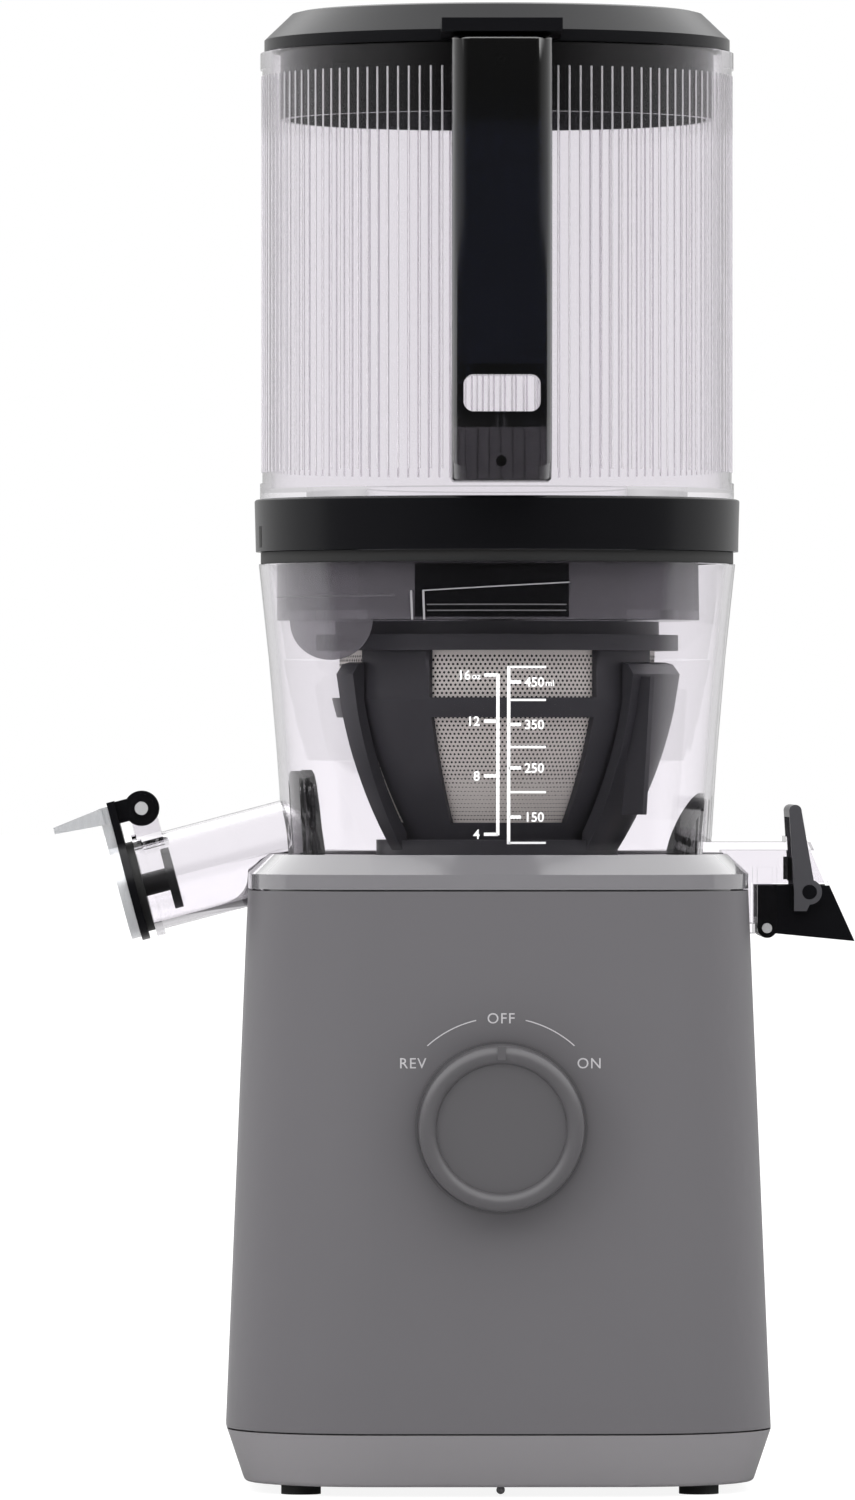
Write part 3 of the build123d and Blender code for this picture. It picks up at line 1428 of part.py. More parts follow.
window_bottom = wiper_gear_top + window_sill_rise
skirt_inner = skirt_radius - skirt_wall
frame_floor_bottom = strainer_foot - 2.4
with BuildPart() as strainer_frame:
    revolve(
        profiles=strainer_section(0, strainer_wall, strainer_foot, strainer_collar),
        axis=Axis.Z,
    )
    extrude(
        ring_sketch(strainer_flange, strainer_flange_radius, strainer_shoulder_radius - strainer_wall),
        amount=strainer_flange_thick,
    )
    extrude(
        ring_sketch(strainer_collar - 1, strainer_collar_radius, strainer_collar_radius - 3),
        amount=strainer_collar_height + 1,
    )
    extrude(
        ring_sketch(frame_floor_bottom, strainer_foot_radius, skirt_inner),
        amount=strainer_foot - frame_floor_bottom,
    )
    extrude(
        ring_sketch(bowl_inside + slip, skirt_radius, skirt_inner),
        amount=strainer_foot - bowl_inside - slip,
    )
    # upper windows under the flange, and taller ones below them
    for window in range(window_count):
        opening_plane = turned_plane(front + window_first + 360 / window_count * window)
        with BuildSketch(opening_plane):
            with BuildLine():
                Polyline(
                    (strainer_waist_radius - 3 * strainer_wall, window_bottom),
                    (strainer_flange_radius, window_bottom),
                    (strainer_flange_radius, strainer_flange - 0.01),
                    (strainer_waist_radius - 3 * strainer_wall, strainer_flange - 0.01),
                    close=True,
                )
            make_face()
            with BuildLine():
                Polyline(
                    (strainer_foot_radius - strainer_wall, strainer_foot + 5),
                    (strainer_flange_radius, strainer_foot + 5),
                    (strainer_flange_radius, window_bottom - window_rail),
                    (strainer_foot_radius - strainer_wall, window_bottom - window_rail),
                    close=True,
                )
            make_face()
        revolve(axis=Axis.Z, revolution_arc=window_span, mode=Mode.SUBTRACT)
    # window for the pulp to fall into the tunnel, and room for the pinion
    with BuildSketch(Plane.XZ):
        with BuildLine():
            Polyline(
                (skirt_inner - 2, bowl_inside + 1),
                (skirt_radius + 2, bowl_inside + 1),
                (skirt_radius + 2, tunnel_roof - chute_wall),
                (skirt_inner - 2, tunnel_roof - chute_wall),
                close=True,
            )
        make_face()
    extrude(amount=tunnel_bore, both=True, mode=Mode.SUBTRACT)
    with BuildSketch(Plane.XY.offset(tower_top - loose)):
        with Locations((0, pinion_circle)):
            Circle(pinion_pitch_radius + 2 * wiper_module)
    extrude(amount=wiper_gear_height + 4 * loose, mode=Mode.SUBTRACT)
strainer_frame.part.label = "strainer_frame"
export_step(strainer_frame.part, "parts/strainer_frame.step")

mesh_outer_inset = strainer_wall + slip
mesh_inner_inset = mesh_outer_inset + mesh_wall
with BuildPart() as strainer_mesh:
    revolve(
        profiles=strainer_section(
            mesh_outer_inset, mesh_inner_inset, strainer_foot + slip, strainer_collar - 1 - slip
        ),
        axis=Axis.Z,
    )
strainer_mesh.part.label = "strainer_mesh"
export_step(strainer_mesh.part, "parts/strainer_mesh.step")

# ---------------------------------------------------------------- wiper basket and blades
basket_top = wiper_gear_bottom + basket_foot_height
arm_inner_foot = strainer_foot_radius + 3.4
arm_gap = 1.2


def arm_profile(plane):
    """Section of one arm of the basket, in a vertical plane through the axis."""
    waist_radius = strainer_waist_radius + arm_gap
    shoulder_radius = strainer_shoulder_radius + arm_gap
    with BuildSketch(plane) as section:
        with BuildLine():
            ThreePointArc(
                (arm_inner_foot, strainer_foot + 2),
                (waist_radius + 0.6, strainer_waist),
                (shoulder_radius, strainer_shoulder),
            )
            Polyline(
                (shoulder_radius, strainer_shoulder),
                (shoulder_radius, strainer_flange - 3.6),
                (shoulder_radius + 2.2, strainer_flange - 4.2),
                (shoulder_radius + 4.3, strainer_flange - 7.2),
                (shoulder_radius + 2.6, strainer_shoulder - 3),
            )
            ThreePointArc(
                (shoulder_radius + 2.6, strainer_shoulder - 3),
                (waist_radius + 4.2, strainer_waist),
                (basket_foot_radius, basket_top - 3),
            )
            Polyline(
                (basket_foot_radius, basket_top - 3),
                (arm_inner_foot, basket_top - 3),
                (arm_inner_foot, strainer_foot + 2),
            )
        make_face()
    return section.sketch


def blade_profile(plane):
    """Section of one silicone blade, in a vertical plane through the axis."""
    shoulder_radius = strainer_shoulder_radius + arm_gap
    with BuildSketch(plane) as section:
        with BuildLine():
            Polyline(
                (shoulder_radius + blade_root, strainer_flange - 8),
                (shoulder_radius + blade_root + blade_reach, strainer_flange - 8),
                (shoulder_radius + blade_root + blade_reach - 3, strainer_flange - 8 - blade_height),
                (strainer_waist_radius + blade_root + 2, strainer_flange - 8 - blade_height),
                close=True,
            )
        make_face()
    return section.sketch


blade_planes = [turned_plane(front + arm_start + blade_turn) for arm_start, arm_span in wiper_arms]
with BuildPart() as wiper_basket:
    extrude(disc_sketch(wiper_gear_bottom, basket_foot_radius), amount=wiper_gear_height)
    extrude(
        gear_sketch(
            wiper_gear_bottom,
            wiper_module,
            wiper_ring_teeth,
            -tooth_backlash,
            above=1.2,
            below=0.75,
            phase=180 / wiper_ring_teeth,
        ),
        amount=wiper_gear_height,
        mode=Mode.SUBTRACT,
    )
    extrude(
        ring_sketch(wiper_gear_top, basket_foot_radius, arm_inner_foot - 1.6),
        amount=basket_top - wiper_gear_top,
    )
    for arm_start, arm_span in (*wiper_arms, wiper_finger):
        arm_plane = turned_plane(front + arm_start)
        revolve(profiles=arm_profile(arm_plane), axis=Axis.Z, revolution_arc=arm_span)
    for blade_plane in blade_planes:
        extrude(blade_profile(blade_plane), amount=blade_thick / 2 + slip, both=True, mode=Mode.SUBTRACT)
wiper_basket.part.label = "wiper_basket"
export_step(wiper_basket.part, "parts/wiper_basket.step")

with BuildPart() as wiper_blades:
    for blade_plane in blade_planes:
        extrude(blade_profile(blade_plane), amount=blade_thick / 2, both=True)
wiper_blades.part.label = "wiper_blades"
export_step(wiper_blades.part, "parts/wiper_blades.step")

# ---------------------------------------------------------------- auger
flight_bottom = strainer_foot + 4
flight_height = strainer_flange - flight_bottom - auger_flight_thick
flight_root = auger_core_top - 1


def flight_radius(height):
    """Radius that clears the strainer's mesh, at a height between its foot and its flange."""
    steps = (
        (strainer_foot, strainer_foot_radius),
        (strainer_waist, strainer_waist_radius),
        (strainer_shoulder, strainer_shoulder_radius),
        (strainer_flange + auger_flight_thick, strainer_shoulder_radius),
    )
    for (low, low_radius), (high, high_radius) in zip(steps, steps[1:]):
        if height <= high:
            share = (height - low) / (high - low)
            return low_radius + share * (high_radius - low_radius) - mesh_inner_inset - auger_mesh_gap
    return high_radius - mesh_inner_inset - auger_mesh_gap


def flight_section(turn):
    """Section of the flight, after a number of turns up from its foot."""
    height = flight_bottom + turn * auger_pitch
    reach = flight_radius(height)
    with BuildSketch(turned_plane(360 * turn)) as section:
        with BuildLine():
            Polyline(
                (flight_root, height),
                (reach, height),
                (reach, height + auger_flight_thick),
                (flight_root, height + auger_flight_thick),
                close=True,
            )
        make_face()
    return section.sketch


flight_turns = flight_height / auger_pitch
flight_steps = round(flight_turns * auger_steps_per_turn)
with BuildPart() as auger:
    loft(
        sections=[flight_section(flight_turns * step / flight_steps) for step in range(flight_steps + 1)],
        ruled=True,
    )
    with BuildSketch(Plane.XZ):
        with BuildLine():
            Polyline(
                (0, wiper_gear_top - 0.5),
                (auger_pitch_radius - 1.6, wiper_gear_top - 0.5),
                (auger_pitch_radius - 1.6, strainer_foot - 1),
                (auger_core_foot, strainer_foot + 4),
                (auger_core_top, auger_top),
                (auger_pin_radius, auger_top),
                (auger_pin_radius, auger_top + auger_pin_height),
                (0, auger_top + auger_pin_height),
                close=True,
            )
        make_face()
    revolve(axis=Axis.Z)
    extrude(
        gear_sketch(wiper_gear_bottom, wiper_module, auger_teeth, tooth_backlash),
        amount=wiper_gear_height,
    )
    extrude(
        disc_sketch(wiper_gear_bottom, auger_bush_radius + slip / 2),
        amount=auger_bush_height,
        mode=Mode.SUBTRACT,
    )
auger.part.label = "auger"
export_step(auger.part, "parts/auger.step")

bush_bottom = bowl_inside + 2
with BuildPart() as auger_bush:
    with BuildSketch(Plane.XY.offset(bush_bottom)):
        Circle(auger_bush_radius)
        RegularPolygon(hex_across / 2 + slip, 6, major_radius=False, mode=Mode.SUBTRACT)
    extrude(amount=wiper_gear_bottom + auger_bush_height - slip - bush_bottom)
auger_bush.part.label = "auger_bush"
export_step(auger_bush.part, "parts/auger_bush.step")

# ================================================================ hopper
with BuildPart() as hopper_seal:
    extrude(
        ring_sketch(seal_bottom, hopper_seal_radius, hopper_seal_inner),
        amount=hopper_seal_height,
    )
hopper_seal.part.label = "hopper_seal"
export_step(hopper_seal.part, "parts/hopper_seal.step")

with BuildPart() as hopper_collar:
    revolve(
        profiles=side_sketch(
            (collar_radius_foot - collar_wall, collar_bottom),
            (collar_radius_foot, collar_bottom),
            (collar_radius_top, collar_top),
            (collar_radius_foot - collar_wall, collar_top),
        ),
        axis=Axis.Z,
    )
    fillet(hopper_collar.faces().sort_by(Axis.Z)[-1].outer_wire().edges(), 0.8)
hopper_collar.part.label = "hopper_collar"
export_step(hopper_collar.part, "parts/hopper_collar.step")

# ---------------------------------------------------------------- feed plate
chimney_outer = feed_hole_radius + chimney_wall
plate_top = feed_plate_bottom + feed_plate_thick
hub_bore = auger_pin_radius + running
with BuildPart() as feed_plate:
    with BuildSketch(Plane.XY.offset(feed_plate_bottom)):
        Circle(feed_skirt_radius)
        with Locations((feed_plate_cut_x + feed_skirt_radius, 0)):
            Rectangle(2 * feed_skirt_radius, 3 * feed_skirt_radius, mode=Mode.SUBTRACT)
    extrude(amount=collar_bottom - slip - feed_plate_bottom)
    with BuildSketch(Plane.XY.offset(plate_top)):
        Circle(feed_skirt_radius - feed_plate_wall)
        with Locations((feed_plate_cut_x - feed_plate_wall + feed_skirt_radius, 0)):
            Rectangle(2 * feed_skirt_radius, 3 * feed_skirt_radius, mode=Mode.SUBTRACT)
    extrude(amount=collar_bottom - plate_top, mode=Mode.SUBTRACT)
    with BuildSketch(Plane.XY.offset(feed_plate_bottom)):
        Circle(chimney_outer)
    extrude(amount=hopper_bottom - slip - feed_plate_bottom)
    with BuildSketch(Plane.XY.offset(feed_plate_bottom)):
        Circle(feed_hole_radius)
    extrude(amount=hopper_bottom - feed_plate_bottom, mode=Mode.SUBTRACT)
    # arms and hub that hold the top of the auger
    with BuildSketch(Plane.XY.offset(feed_plate_bottom)):
        Circle(hub_radius)
        Rectangle(hub_arm_width, 2 * feed_hole_radius + 2)
    extrude(amount=hub_height)
    with BuildSketch(Plane.XY.offset(feed_plate_bottom)):
        Circle(hub_bore)
    extrude(amount=hub_height, mode=Mode.SUBTRACT)
    # half-round tongue hanging beside the strainer at the left
    tongue_ring = ring_sketch(
        feed_plate_bottom - tongue_radius, tongue_skirt_radius, tongue_skirt_radius - tongue_wall
    )
    tongue_shell = extrude(tongue_ring, amount=tongue_radius + seam, mode=Mode.PRIVATE)
    tongue_plane = Plane(origin=(tongue_x, -tongue_skirt_radius, feed_plate_bottom), z_dir=(0, 1, 0))
    with BuildSketch(tongue_plane, mode=Mode.PRIVATE) as tongue_disc:
        Circle(tongue_radius)
    tongue_rod = extrude(tongue_disc.sketch, amount=tongue_skirt_radius, mode=Mode.PRIVATE)
    add(tongue_shell & tongue_rod)
feed_plate.part.label = "feed_plate"
export_step(feed_plate.part, "parts/feed_plate.step")

# ---------------------------------------------------------------- hopper body
ear_drop = 22.0
ear_side_inner = lid_knuckle_half + loose
ear_side_outer = ear_side_inner + lid_ear_thick
with BuildPart() as hopper:
    revolve(
        profiles=side_sketch(
            (0, hopper_bottom),
            (hopper_flange_radius, hopper_bottom),
            (hopper_flange_radius, hopper_bottom + hopper_flange_height),
            (hopper_radius, hopper_bottom + hopper_flange_height),
            (hopper_radius, hopper_top - hopper_band_height),
            (hopper_band_radius, hopper_top - hopper_band_height),
            (hopper_band_radius, hopper_top),
            (0, hopper_top),
        ),
        axis=Axis.Z,
    )
    # ears for the lid's hinge pin
    with BuildSketch(Plane.YZ):
        with BuildLine():
            Polyline(
                (hopper_inner + 1, hopper_top - ear_drop),
                (lid_hinge_y + lid_knuckle_radius, lid_hinge_z - 6),
                (lid_hinge_y + lid_knuckle_radius, lid_hinge_z),
                (lid_hinge_y - lid_knuckle_radius, lid_hinge_z),
                (lid_hinge_y - lid_knuckle_radius, hopper_top - 0.5),
                (hopper_inner + 1, hopper_top - 0.5),
                close=True,
            )
        make_face()
        with Locations((lid_hinge_y, lid_hinge_z)):
            Circle(lid_knuckle_radius)
    extrude(amount=ear_side_outer, both=True)
    with BuildSketch(Plane.YZ):
        with Locations((hopper_band_radius + seam + ear_drop, hopper_top)):
            Rectangle(2 * ear_drop, 3 * ear_drop)
    extrude(amount=ear_side_inner, both=True, mode=Mode.SUBTRACT)
    extrude(
        disc_sketch(hopper_bottom + hopper_floor, hopper_inner),
        amount=hopper_height,
        mode=Mode.SUBTRACT,
    )
    extrude(
        disc_sketch(hopper_bottom, feed_hole_radius),
        amount=hopper_floor,
        mode=Mode.SUBTRACT,
    )
    with BuildSketch(Plane.YZ):
        with Locations((lid_hinge_y, lid_hinge_z)):
            Circle(lid_pin_radius + running)
    extrude(amount=ear_side_outer, both=True, mode=Mode.SUBTRACT)
hopper.part.label = "hopper"
export_step(hopper.part, "parts/hopper.step")

# ---------------------------------------------------------------- handle
handle_top = hopper_top
handle_root = hopper_band_radius + loose
handle_inner = handle_front - handle_thick
foot_top = handle_foot_bottom + handle_foot_height
slot_bottom = foot_top
slot_top = slot_bottom + handle_slot_height
with BuildPart() as hopper_handle:
    with BuildSketch(Plane.YZ):
        with BuildLine():
            Polyline(
                (-handle_root, handle_top),
                (-handle_front, handle_top),
            )
            ThreePointArc(
                (-handle_front, handle_top),
                (-handle_belly, (handle_top + slot_top) / 2),
                (-handle_front + 1.5, slot_top),
            )
            Polyline(
                (-handle_front + 1.5, slot_top),
                (-handle_front + 4, handle_foot_bottom + handle_edge),
                (-handle_front + 8, handle_foot_bottom),
                (-handle_root, handle_foot_bottom),
                (-handle_root, foot_top - 3),
                (-handle_inner, slot_top + 4),
                (-handle_inner, handle_top - handle_root_top - 4),
                (-handle_inner + 4, handle_top - handle_root_top),
                (-handle_root, handle_top - handle_root_top),
                (-handle_root, handle_top),
            )
        make_face()
    extrude(amount=handle_width / 2, both=True)
    side_edges = hopper_handle.faces().filter_by(Axis.X).edges()
    grip_edges = side_edges.filter_by(lambda edge: edge.bounding_box().max.Y < -handle_inner - handle_edge)
    fillet(grip_edges, grip_round)
    side_edges = hopper_handle.faces().filter_by(Axis.X).edges()
    fillet(
        side_edges.filter_by(lambda edge: edge.bounding_box().max.Y > -handle_inner - handle_edge),
        handle_round,
    )
    # window through the lower end of the grip
    with BuildSketch(Plane.XZ.offset(handle_root)):
        with Locations((0, (slot_bottom + slot_top) / 2)):
            RectangleRounded(handle_slot_width, handle_slot_height, handle_slot_round)
    extrude(amount=4 * handle_thick, mode=Mode.SUBTRACT)
    with BuildSketch(Plane.XZ.offset(handle_root)):
        with Locations((0, handle_foot_bottom + 7), (0, handle_top - handle_root_top / 2)):
            Circle(handle_screw_radius + slip)
    extrude(amount=handle_screw_radius * 5, mode=Mode.SUBTRACT)
hopper_handle.part.label = "hopper_handle"
export_step(hopper_handle.part, "parts/hopper_handle.step")

with BuildPart() as handle_screws:
    with BuildSketch(Plane.XZ.offset(handle_root + handle_screw_radius * 5)):
        with Locations((0, handle_foot_bottom + 7), (0, handle_top - handle_root_top / 2)):
            Circle(handle_screw_radius)
    extrude(amount=-handle_screw_radius * 5)
handle_screws.part.label = "handle_screws"
export_step(handle_screws.part, "parts/handle_screws.step")

# ---------------------------------------------------------------- lid
lid_top = lid_bottom + lid_height
with BuildPart() as lid:
    revolve(
        profiles=side_sketch(
            (0, lid_bottom),
            (lid_radius, lid_bottom),
            (lid_radius, lid_bottom + lid_edge_height),
            (lid_top_radius, lid_top - 0.5),
            (lid_top_radius - 2, lid_top),
            (0, lid_top),
        ),
        axis=Axis.Z,
    )
    revolve(
        profiles=side_sketch(
            (0, lid_bottom),
            (lid_radius - 3, lid_bottom),
            (lid_radius - 3, lid_bottom + lid_edge_height - 1),
            (lid_top_radius - 2, lid_top - lid_plate),
            (0, lid_top - lid_plate),
        ),
        axis=Axis.Z,
        mode=Mode.SUBTRACT,
    )
    # tab over the handle
    with BuildSketch(Plane.XY.offset(lid_bottom + seam)):
        with Locations((0, -(tab_reach + lid_radius - tab_root) / 2)):
            Rectangle(tab_width, tab_reach - lid_radius + tab_root)
    extrude(amount=tab_thick)
    # knuckle of the hinge
    with BuildSketch(Plane.YZ):
        with BuildLine():
            Polyline(
                (lid_radius - 2.5, lid_bottom + 0.2),
                (lid_hinge_y, lid_bottom + 0.2),
                (lid_hinge_y, lid_hinge_z + lid_knuckle_radius - 1),
                (lid_radius - 2.5, lid_bottom + lid_edge_height),
                close=True,
            )
        make_face()
        with Locations((lid_hinge_y, lid_hinge_z)):
            Circle(lid_knuckle_radius - 1)
    extrude(amount=lid_knuckle_half, both=True)
    with BuildSketch(Plane.YZ):
        with Locations((lid_hinge_y, lid_hinge_z)):
            Circle(lid_pin_radius + running)
    extrude(amount=lid_knuckle_half, both=True, mode=Mode.SUBTRACT)
lid.part.label = "lid"
export_step(lid.part, "parts/lid.step")

skirt_top = lid_bottom + lid_edge_height - 1
with BuildPart() as lid_skirt:
    extrude(
        ring_sketch(lid_bottom - lid_skirt_depth, lid_skirt_radius, lid_skirt_radius - lid_skirt_wall),
        amount=skirt_top - lid_bottom + lid_skirt_depth,
    )
    extrude(
        ring_sketch(skirt_top - 2, lid_radius - 3 - slip, lid_skirt_radius - lid_skirt_wall),
        amount=2,
    )
lid_skirt.part.label = "lid_skirt"
export_step(lid_skirt.part, "parts/lid_skirt.step")

with BuildPart() as lid_hinge_pin:
    with BuildSketch(Plane.YZ):
        with Locations((lid_hinge_y, lid_hinge_z)):
            Circle(lid_pin_radius)
    extrude(amount=ear_side_outer, both=True)
lid_hinge_pin.part.label = "lid_hinge_pin"
export_step(lid_hinge_pin.part, "parts/lid_hinge_pin.step")
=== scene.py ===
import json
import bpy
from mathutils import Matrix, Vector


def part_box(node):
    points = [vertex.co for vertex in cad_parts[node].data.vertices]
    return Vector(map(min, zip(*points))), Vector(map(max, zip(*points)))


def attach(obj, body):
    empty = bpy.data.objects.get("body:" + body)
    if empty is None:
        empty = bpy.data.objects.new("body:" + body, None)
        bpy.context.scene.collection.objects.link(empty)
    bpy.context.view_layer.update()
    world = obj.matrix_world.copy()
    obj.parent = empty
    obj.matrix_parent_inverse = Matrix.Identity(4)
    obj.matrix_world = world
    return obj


bl_info = {
    "name": "Cold press juicer",
    "version": (1, 0, 0),
    "blender": (4, 5, 0),
    "location": "View3D > Sidebar > Juicer",
    "description": "Dresses the juicer's frame with its finishes, printed marks and fine parts",
    "category": "Object",
}

from math import cos, pi, radians, sin, sqrt

import bmesh
import bpy
from mathutils import Vector
from mathutils.bvhtree import BVHTree

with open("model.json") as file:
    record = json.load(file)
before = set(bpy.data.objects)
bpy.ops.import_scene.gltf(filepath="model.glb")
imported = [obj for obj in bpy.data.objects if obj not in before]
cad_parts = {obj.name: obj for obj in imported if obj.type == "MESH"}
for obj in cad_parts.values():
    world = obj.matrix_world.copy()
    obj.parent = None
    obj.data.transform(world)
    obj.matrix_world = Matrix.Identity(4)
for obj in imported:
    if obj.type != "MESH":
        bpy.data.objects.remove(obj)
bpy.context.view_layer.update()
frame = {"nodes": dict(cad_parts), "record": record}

MM = 0.001
INK_THICKNESS = 0.05 * MM
INK_STAND = 0.05 * MM  # from the wall to the middle of the ink
CAPITAL_SHARE = 0.69  # height of a capital in the font's size


# ---------------------------------------------------------------- shared places, from the frame
def low(node):
    """Lowest corner of a node of the frame."""
    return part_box(node)[0]


def high(node):
    """Highest corner of a node of the frame."""
    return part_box(node)[1]


hopper_low = low("hopper").z
knob_centre = (low("control_knob").z + high("control_knob").z) / 2
mesh_high = high("strainer_mesh").z
bowl_top = high("juice_bowl").z
pan_bottom = low("bottom_pan").z
pan_front = low("bottom_pan").y


def new_object(name, data):
    """New object in the scene."""
    thing = bpy.data.objects.new(name, data)
    bpy.context.scene.collection.objects.link(thing)
    return thing


def aimed_object(name, data, place, aim):
    """New object that stands at a place and points at another one."""
    thing = new_object(name, data)
    thing.location = place
    thing.rotation_euler = (Vector(aim) - Vector(place)).to_track_quat("-Z", "Y").to_euler()
    return thing


# ---------------------------------------------------------------- node helpers
def fill(node, values):
    """Sets inputs of a node, by name or number."""
    for socket, value in values.items():
        node.inputs[socket].default_value = value


def add_node(nodes, kind, values, **settings):
    """New node with values for some of its inputs and with its settings."""
    node = nodes.new(kind)
    for setting, value in settings.items():
        setattr(node, setting, value)
    fill(node, values)
    return node


def math_maker(nodes, links):
    """Function that adds a math node, whose operands are floats or outputs, and returns its output."""

    def math(operation, *operands):
        node = add_node(nodes, "ShaderNodeMath", {}, operation=operation)
        for socket, value in zip(node.inputs, operands):
            if isinstance(value, float):
                socket.default_value = value
            else:
                links.new(value, socket)
        return node.outputs[0]

    return math


def mixed(nodes, links, share, first, second):
    """Output that goes from a first shader to a second one as the share goes from 0 to 1."""
    mix = nodes.new("ShaderNodeMixShader")
    for socket, output in zip(mix.inputs, (share, first, second)):
        links.new(output, socket)
    return mix.outputs["Shader"]


# ---------------------------------------------------------------- shader groups
def shader_group(name, inputs, outputs):
    """Shader group; returns it with the outputs of its start and the inputs of its end."""
    group = bpy.data.node_groups.new(name, "ShaderNodeTree")
    for socket, value in inputs:
        kind = "NodeSocketFloat" if isinstance(value, float) else "NodeSocketColor"
        made = group.interface.new_socket(socket, in_out="INPUT", socket_type=kind)
        made.default_value = value
    for socket, kind in outputs:
        group.interface.new_socket(socket, in_out="OUTPUT", socket_type=kind)
    start = group.nodes.new("NodeGroupInput")
    end = group.nodes.new("NodeGroupOutput")
    return group, start.outputs, end.inputs


def moulded_grain_group():
    """Fine even grain of a moulded surface, with slow patches of more and less gloss."""
    group, start, end = shader_group(
        "moulded_grain",
        (
            ("Grain Scale", 2500.0),
            ("Grain Depth", 0.05),
            ("Roughness", 0.4),
            ("Roughness Spread", 0.06),
        ),
        (("Roughness", "NodeSocketFloat"), ("Normal", "NodeSocketVector")),
    )
    nodes, links = group.nodes, group.links
    math = math_maker(nodes, links)
    place = nodes.new("ShaderNodeTexCoord").outputs["Object"]
    grain = add_node(nodes, "ShaderNodeTexNoise", {"Detail": 2.0})
    patches = add_node(nodes, "ShaderNodeTexNoise", {"Scale": 28.0, "Detail": 3.0})
    bump = add_node(nodes, "ShaderNodeBump", {"Distance": 0.0001})
    links.new(place, grain.inputs["Vector"])
    links.new(place, patches.inputs["Vector"])
    links.new(start["Grain Scale"], grain.inputs["Scale"])
    links.new(start["Grain Depth"], bump.inputs["Strength"])
    links.new(grain.outputs["Fac"], bump.inputs["Height"])
    centred = math("SUBTRACT", patches.outputs["Fac"], 0.5)
    rough = math("MULTIPLY_ADD", centred, start["Roughness Spread"], start["Roughness"])
    links.new(rough, end["Roughness"])
    links.new(bump.outputs["Normal"], end["Normal"])
    return group


def shade_drift_group():
    """Base colour that drifts a little from place to place, as pigment does."""
    group, start, end = shader_group(
        "shade_drift",
        (("Color", (0.5, 0.5, 0.5, 1.0)), ("Drift", 0.06), ("Scale", 14.0)),
        (("Color", "NodeSocketColor"),),
    )
    nodes, links = group.nodes, group.links
    math = math_maker(nodes, links)
    noise = add_node(nodes, "ShaderNodeTexNoise", {"Detail": 4.0})
    shade = nodes.new("ShaderNodeHueSaturation")
    links.new(nodes.new("ShaderNodeTexCoord").outputs["Object"], noise.inputs["Vector"])
    links.new(start["Scale"], noise.inputs["Scale"])
    darkest = math("MULTIPLY_ADD", start["Drift"], -0.5, 1.0)
    value = math("MULTIPLY_ADD", noise.outputs["Fac"], start["Drift"], darkest)
    links.new(value, shade.inputs["Value"])
    links.new(start["Color"], shade.inputs["Color"])
    links.new(shade.outputs["Color"], end["Color"])
    return group


def turned_lines_group():
    """Fine rings of a turned or ground metal face, about the drive axis."""
    group, start, end = shader_group(
        "turned_lines",
        (("Lines", 2200.0), ("Depth", 0.1), ("Roughness", 0.3)),
        (("Roughness", "NodeSocketFloat"), ("Normal", "NodeSocketVector")),
    )
    nodes, links = group.nodes, group.links
    math = math_maker(nodes, links)
    wave = add_node(
        nodes,
        "ShaderNodeTexWave",
        {"Distortion": 1.5, "Detail": 2.0},
        wave_type="RINGS",
        rings_direction="Z",
    )
    bump = add_node(nodes, "ShaderNodeBump", {"Distance": 0.0001})
    links.new(nodes.new("ShaderNodeTexCoord").outputs["Object"], wave.inputs["Vector"])
    links.new(start["Lines"], wave.inputs["Scale"])
    links.new(wave.outputs["Fac"], bump.inputs["Height"])
    links.new(start["Depth"], bump.inputs["Strength"])
    links.new(math("MULTIPLY_ADD", wave.outputs["Fac"], 0.12, start["Roughness"]), end["Roughness"])
    links.new(bump.outputs["Normal"], end["Normal"])
    return group


def height_blend_group():
    """Mask that rises from 0 to 1 between two heights of the shared frame."""
    group, start, end = shader_group(
        "height_blend", (("Low", 0.0), ("High", 0.01)), (("Mask", "NodeSocketFloat"),)
    )
    nodes, links = group.nodes, group.links
    split = nodes.new("ShaderNodeSeparateXYZ")
    ramp = add_node(nodes, "ShaderNodeMapRange", {}, interpolation_type="SMOOTHSTEP")
    links.new(nodes.new("ShaderNodeTexCoord").outputs["Object"], split.inputs[0])
    links.new(split.outputs["Z"], ramp.inputs["Value"])
    links.new(start["Low"], ramp.inputs["From Min"])
    links.new(start["High"], ramp.inputs["From Max"])
    links.new(ramp.outputs["Result"], end["Mask"])
    return group


GROUP_MAKERS = {
    "grain": moulded_grain_group,
    "drift": shade_drift_group,
    "lines": turned_lines_group,
    "height": height_blend_group,
}

groups = {}


def group_node(nodes, name, values):
    """Outputs of a shared shader group in a material; the group is made at its first use."""
    if name not in groups:
        groups[name] = GROUP_MAKERS[name]()
    node = add_node(nodes, "ShaderNodeGroup", values, node_tree=groups[name])
    return node.outputs


# ---------------------------------------------------------------- materials
def new_material(name):
    """Material with one Principled shader; returns it with its nodes, links and shader."""
    material = bpy.data.materials.new(name)
    material.use_nodes = True
    nodes = material.node_tree.nodes
    return material, nodes, material.node_tree.links, nodes["Principled BSDF"]


def drifting_color(nodes, color, drift):
    """Output of a colour that drifts a little."""
    return group_node(nodes, "drift", {"Color": (*color, 1.0), "Drift": drift})["Color"]


def grained_plastic(name, color, rough, grain, depth, drift, coat=0.0, shine=0.5):
    """Opaque moulded plastic."""
    material, nodes, links, shader = new_material(name)
    surface = group_node(
        nodes, "grain", {"Grain Scale": grain, "Grain Depth": depth, "Roughness": rough}
    )
    links.new(surface["Roughness"], shader.inputs["Roughness"])
    links.new(surface["Normal"], shader.inputs["Normal"])
    links.new(drifting_color(nodes, color, drift), shader.inputs["Base Color"])
    fill(shader, {"Specular IOR Level": shine, "Coat Weight": coat, "Coat Roughness": 0.08})
    return material


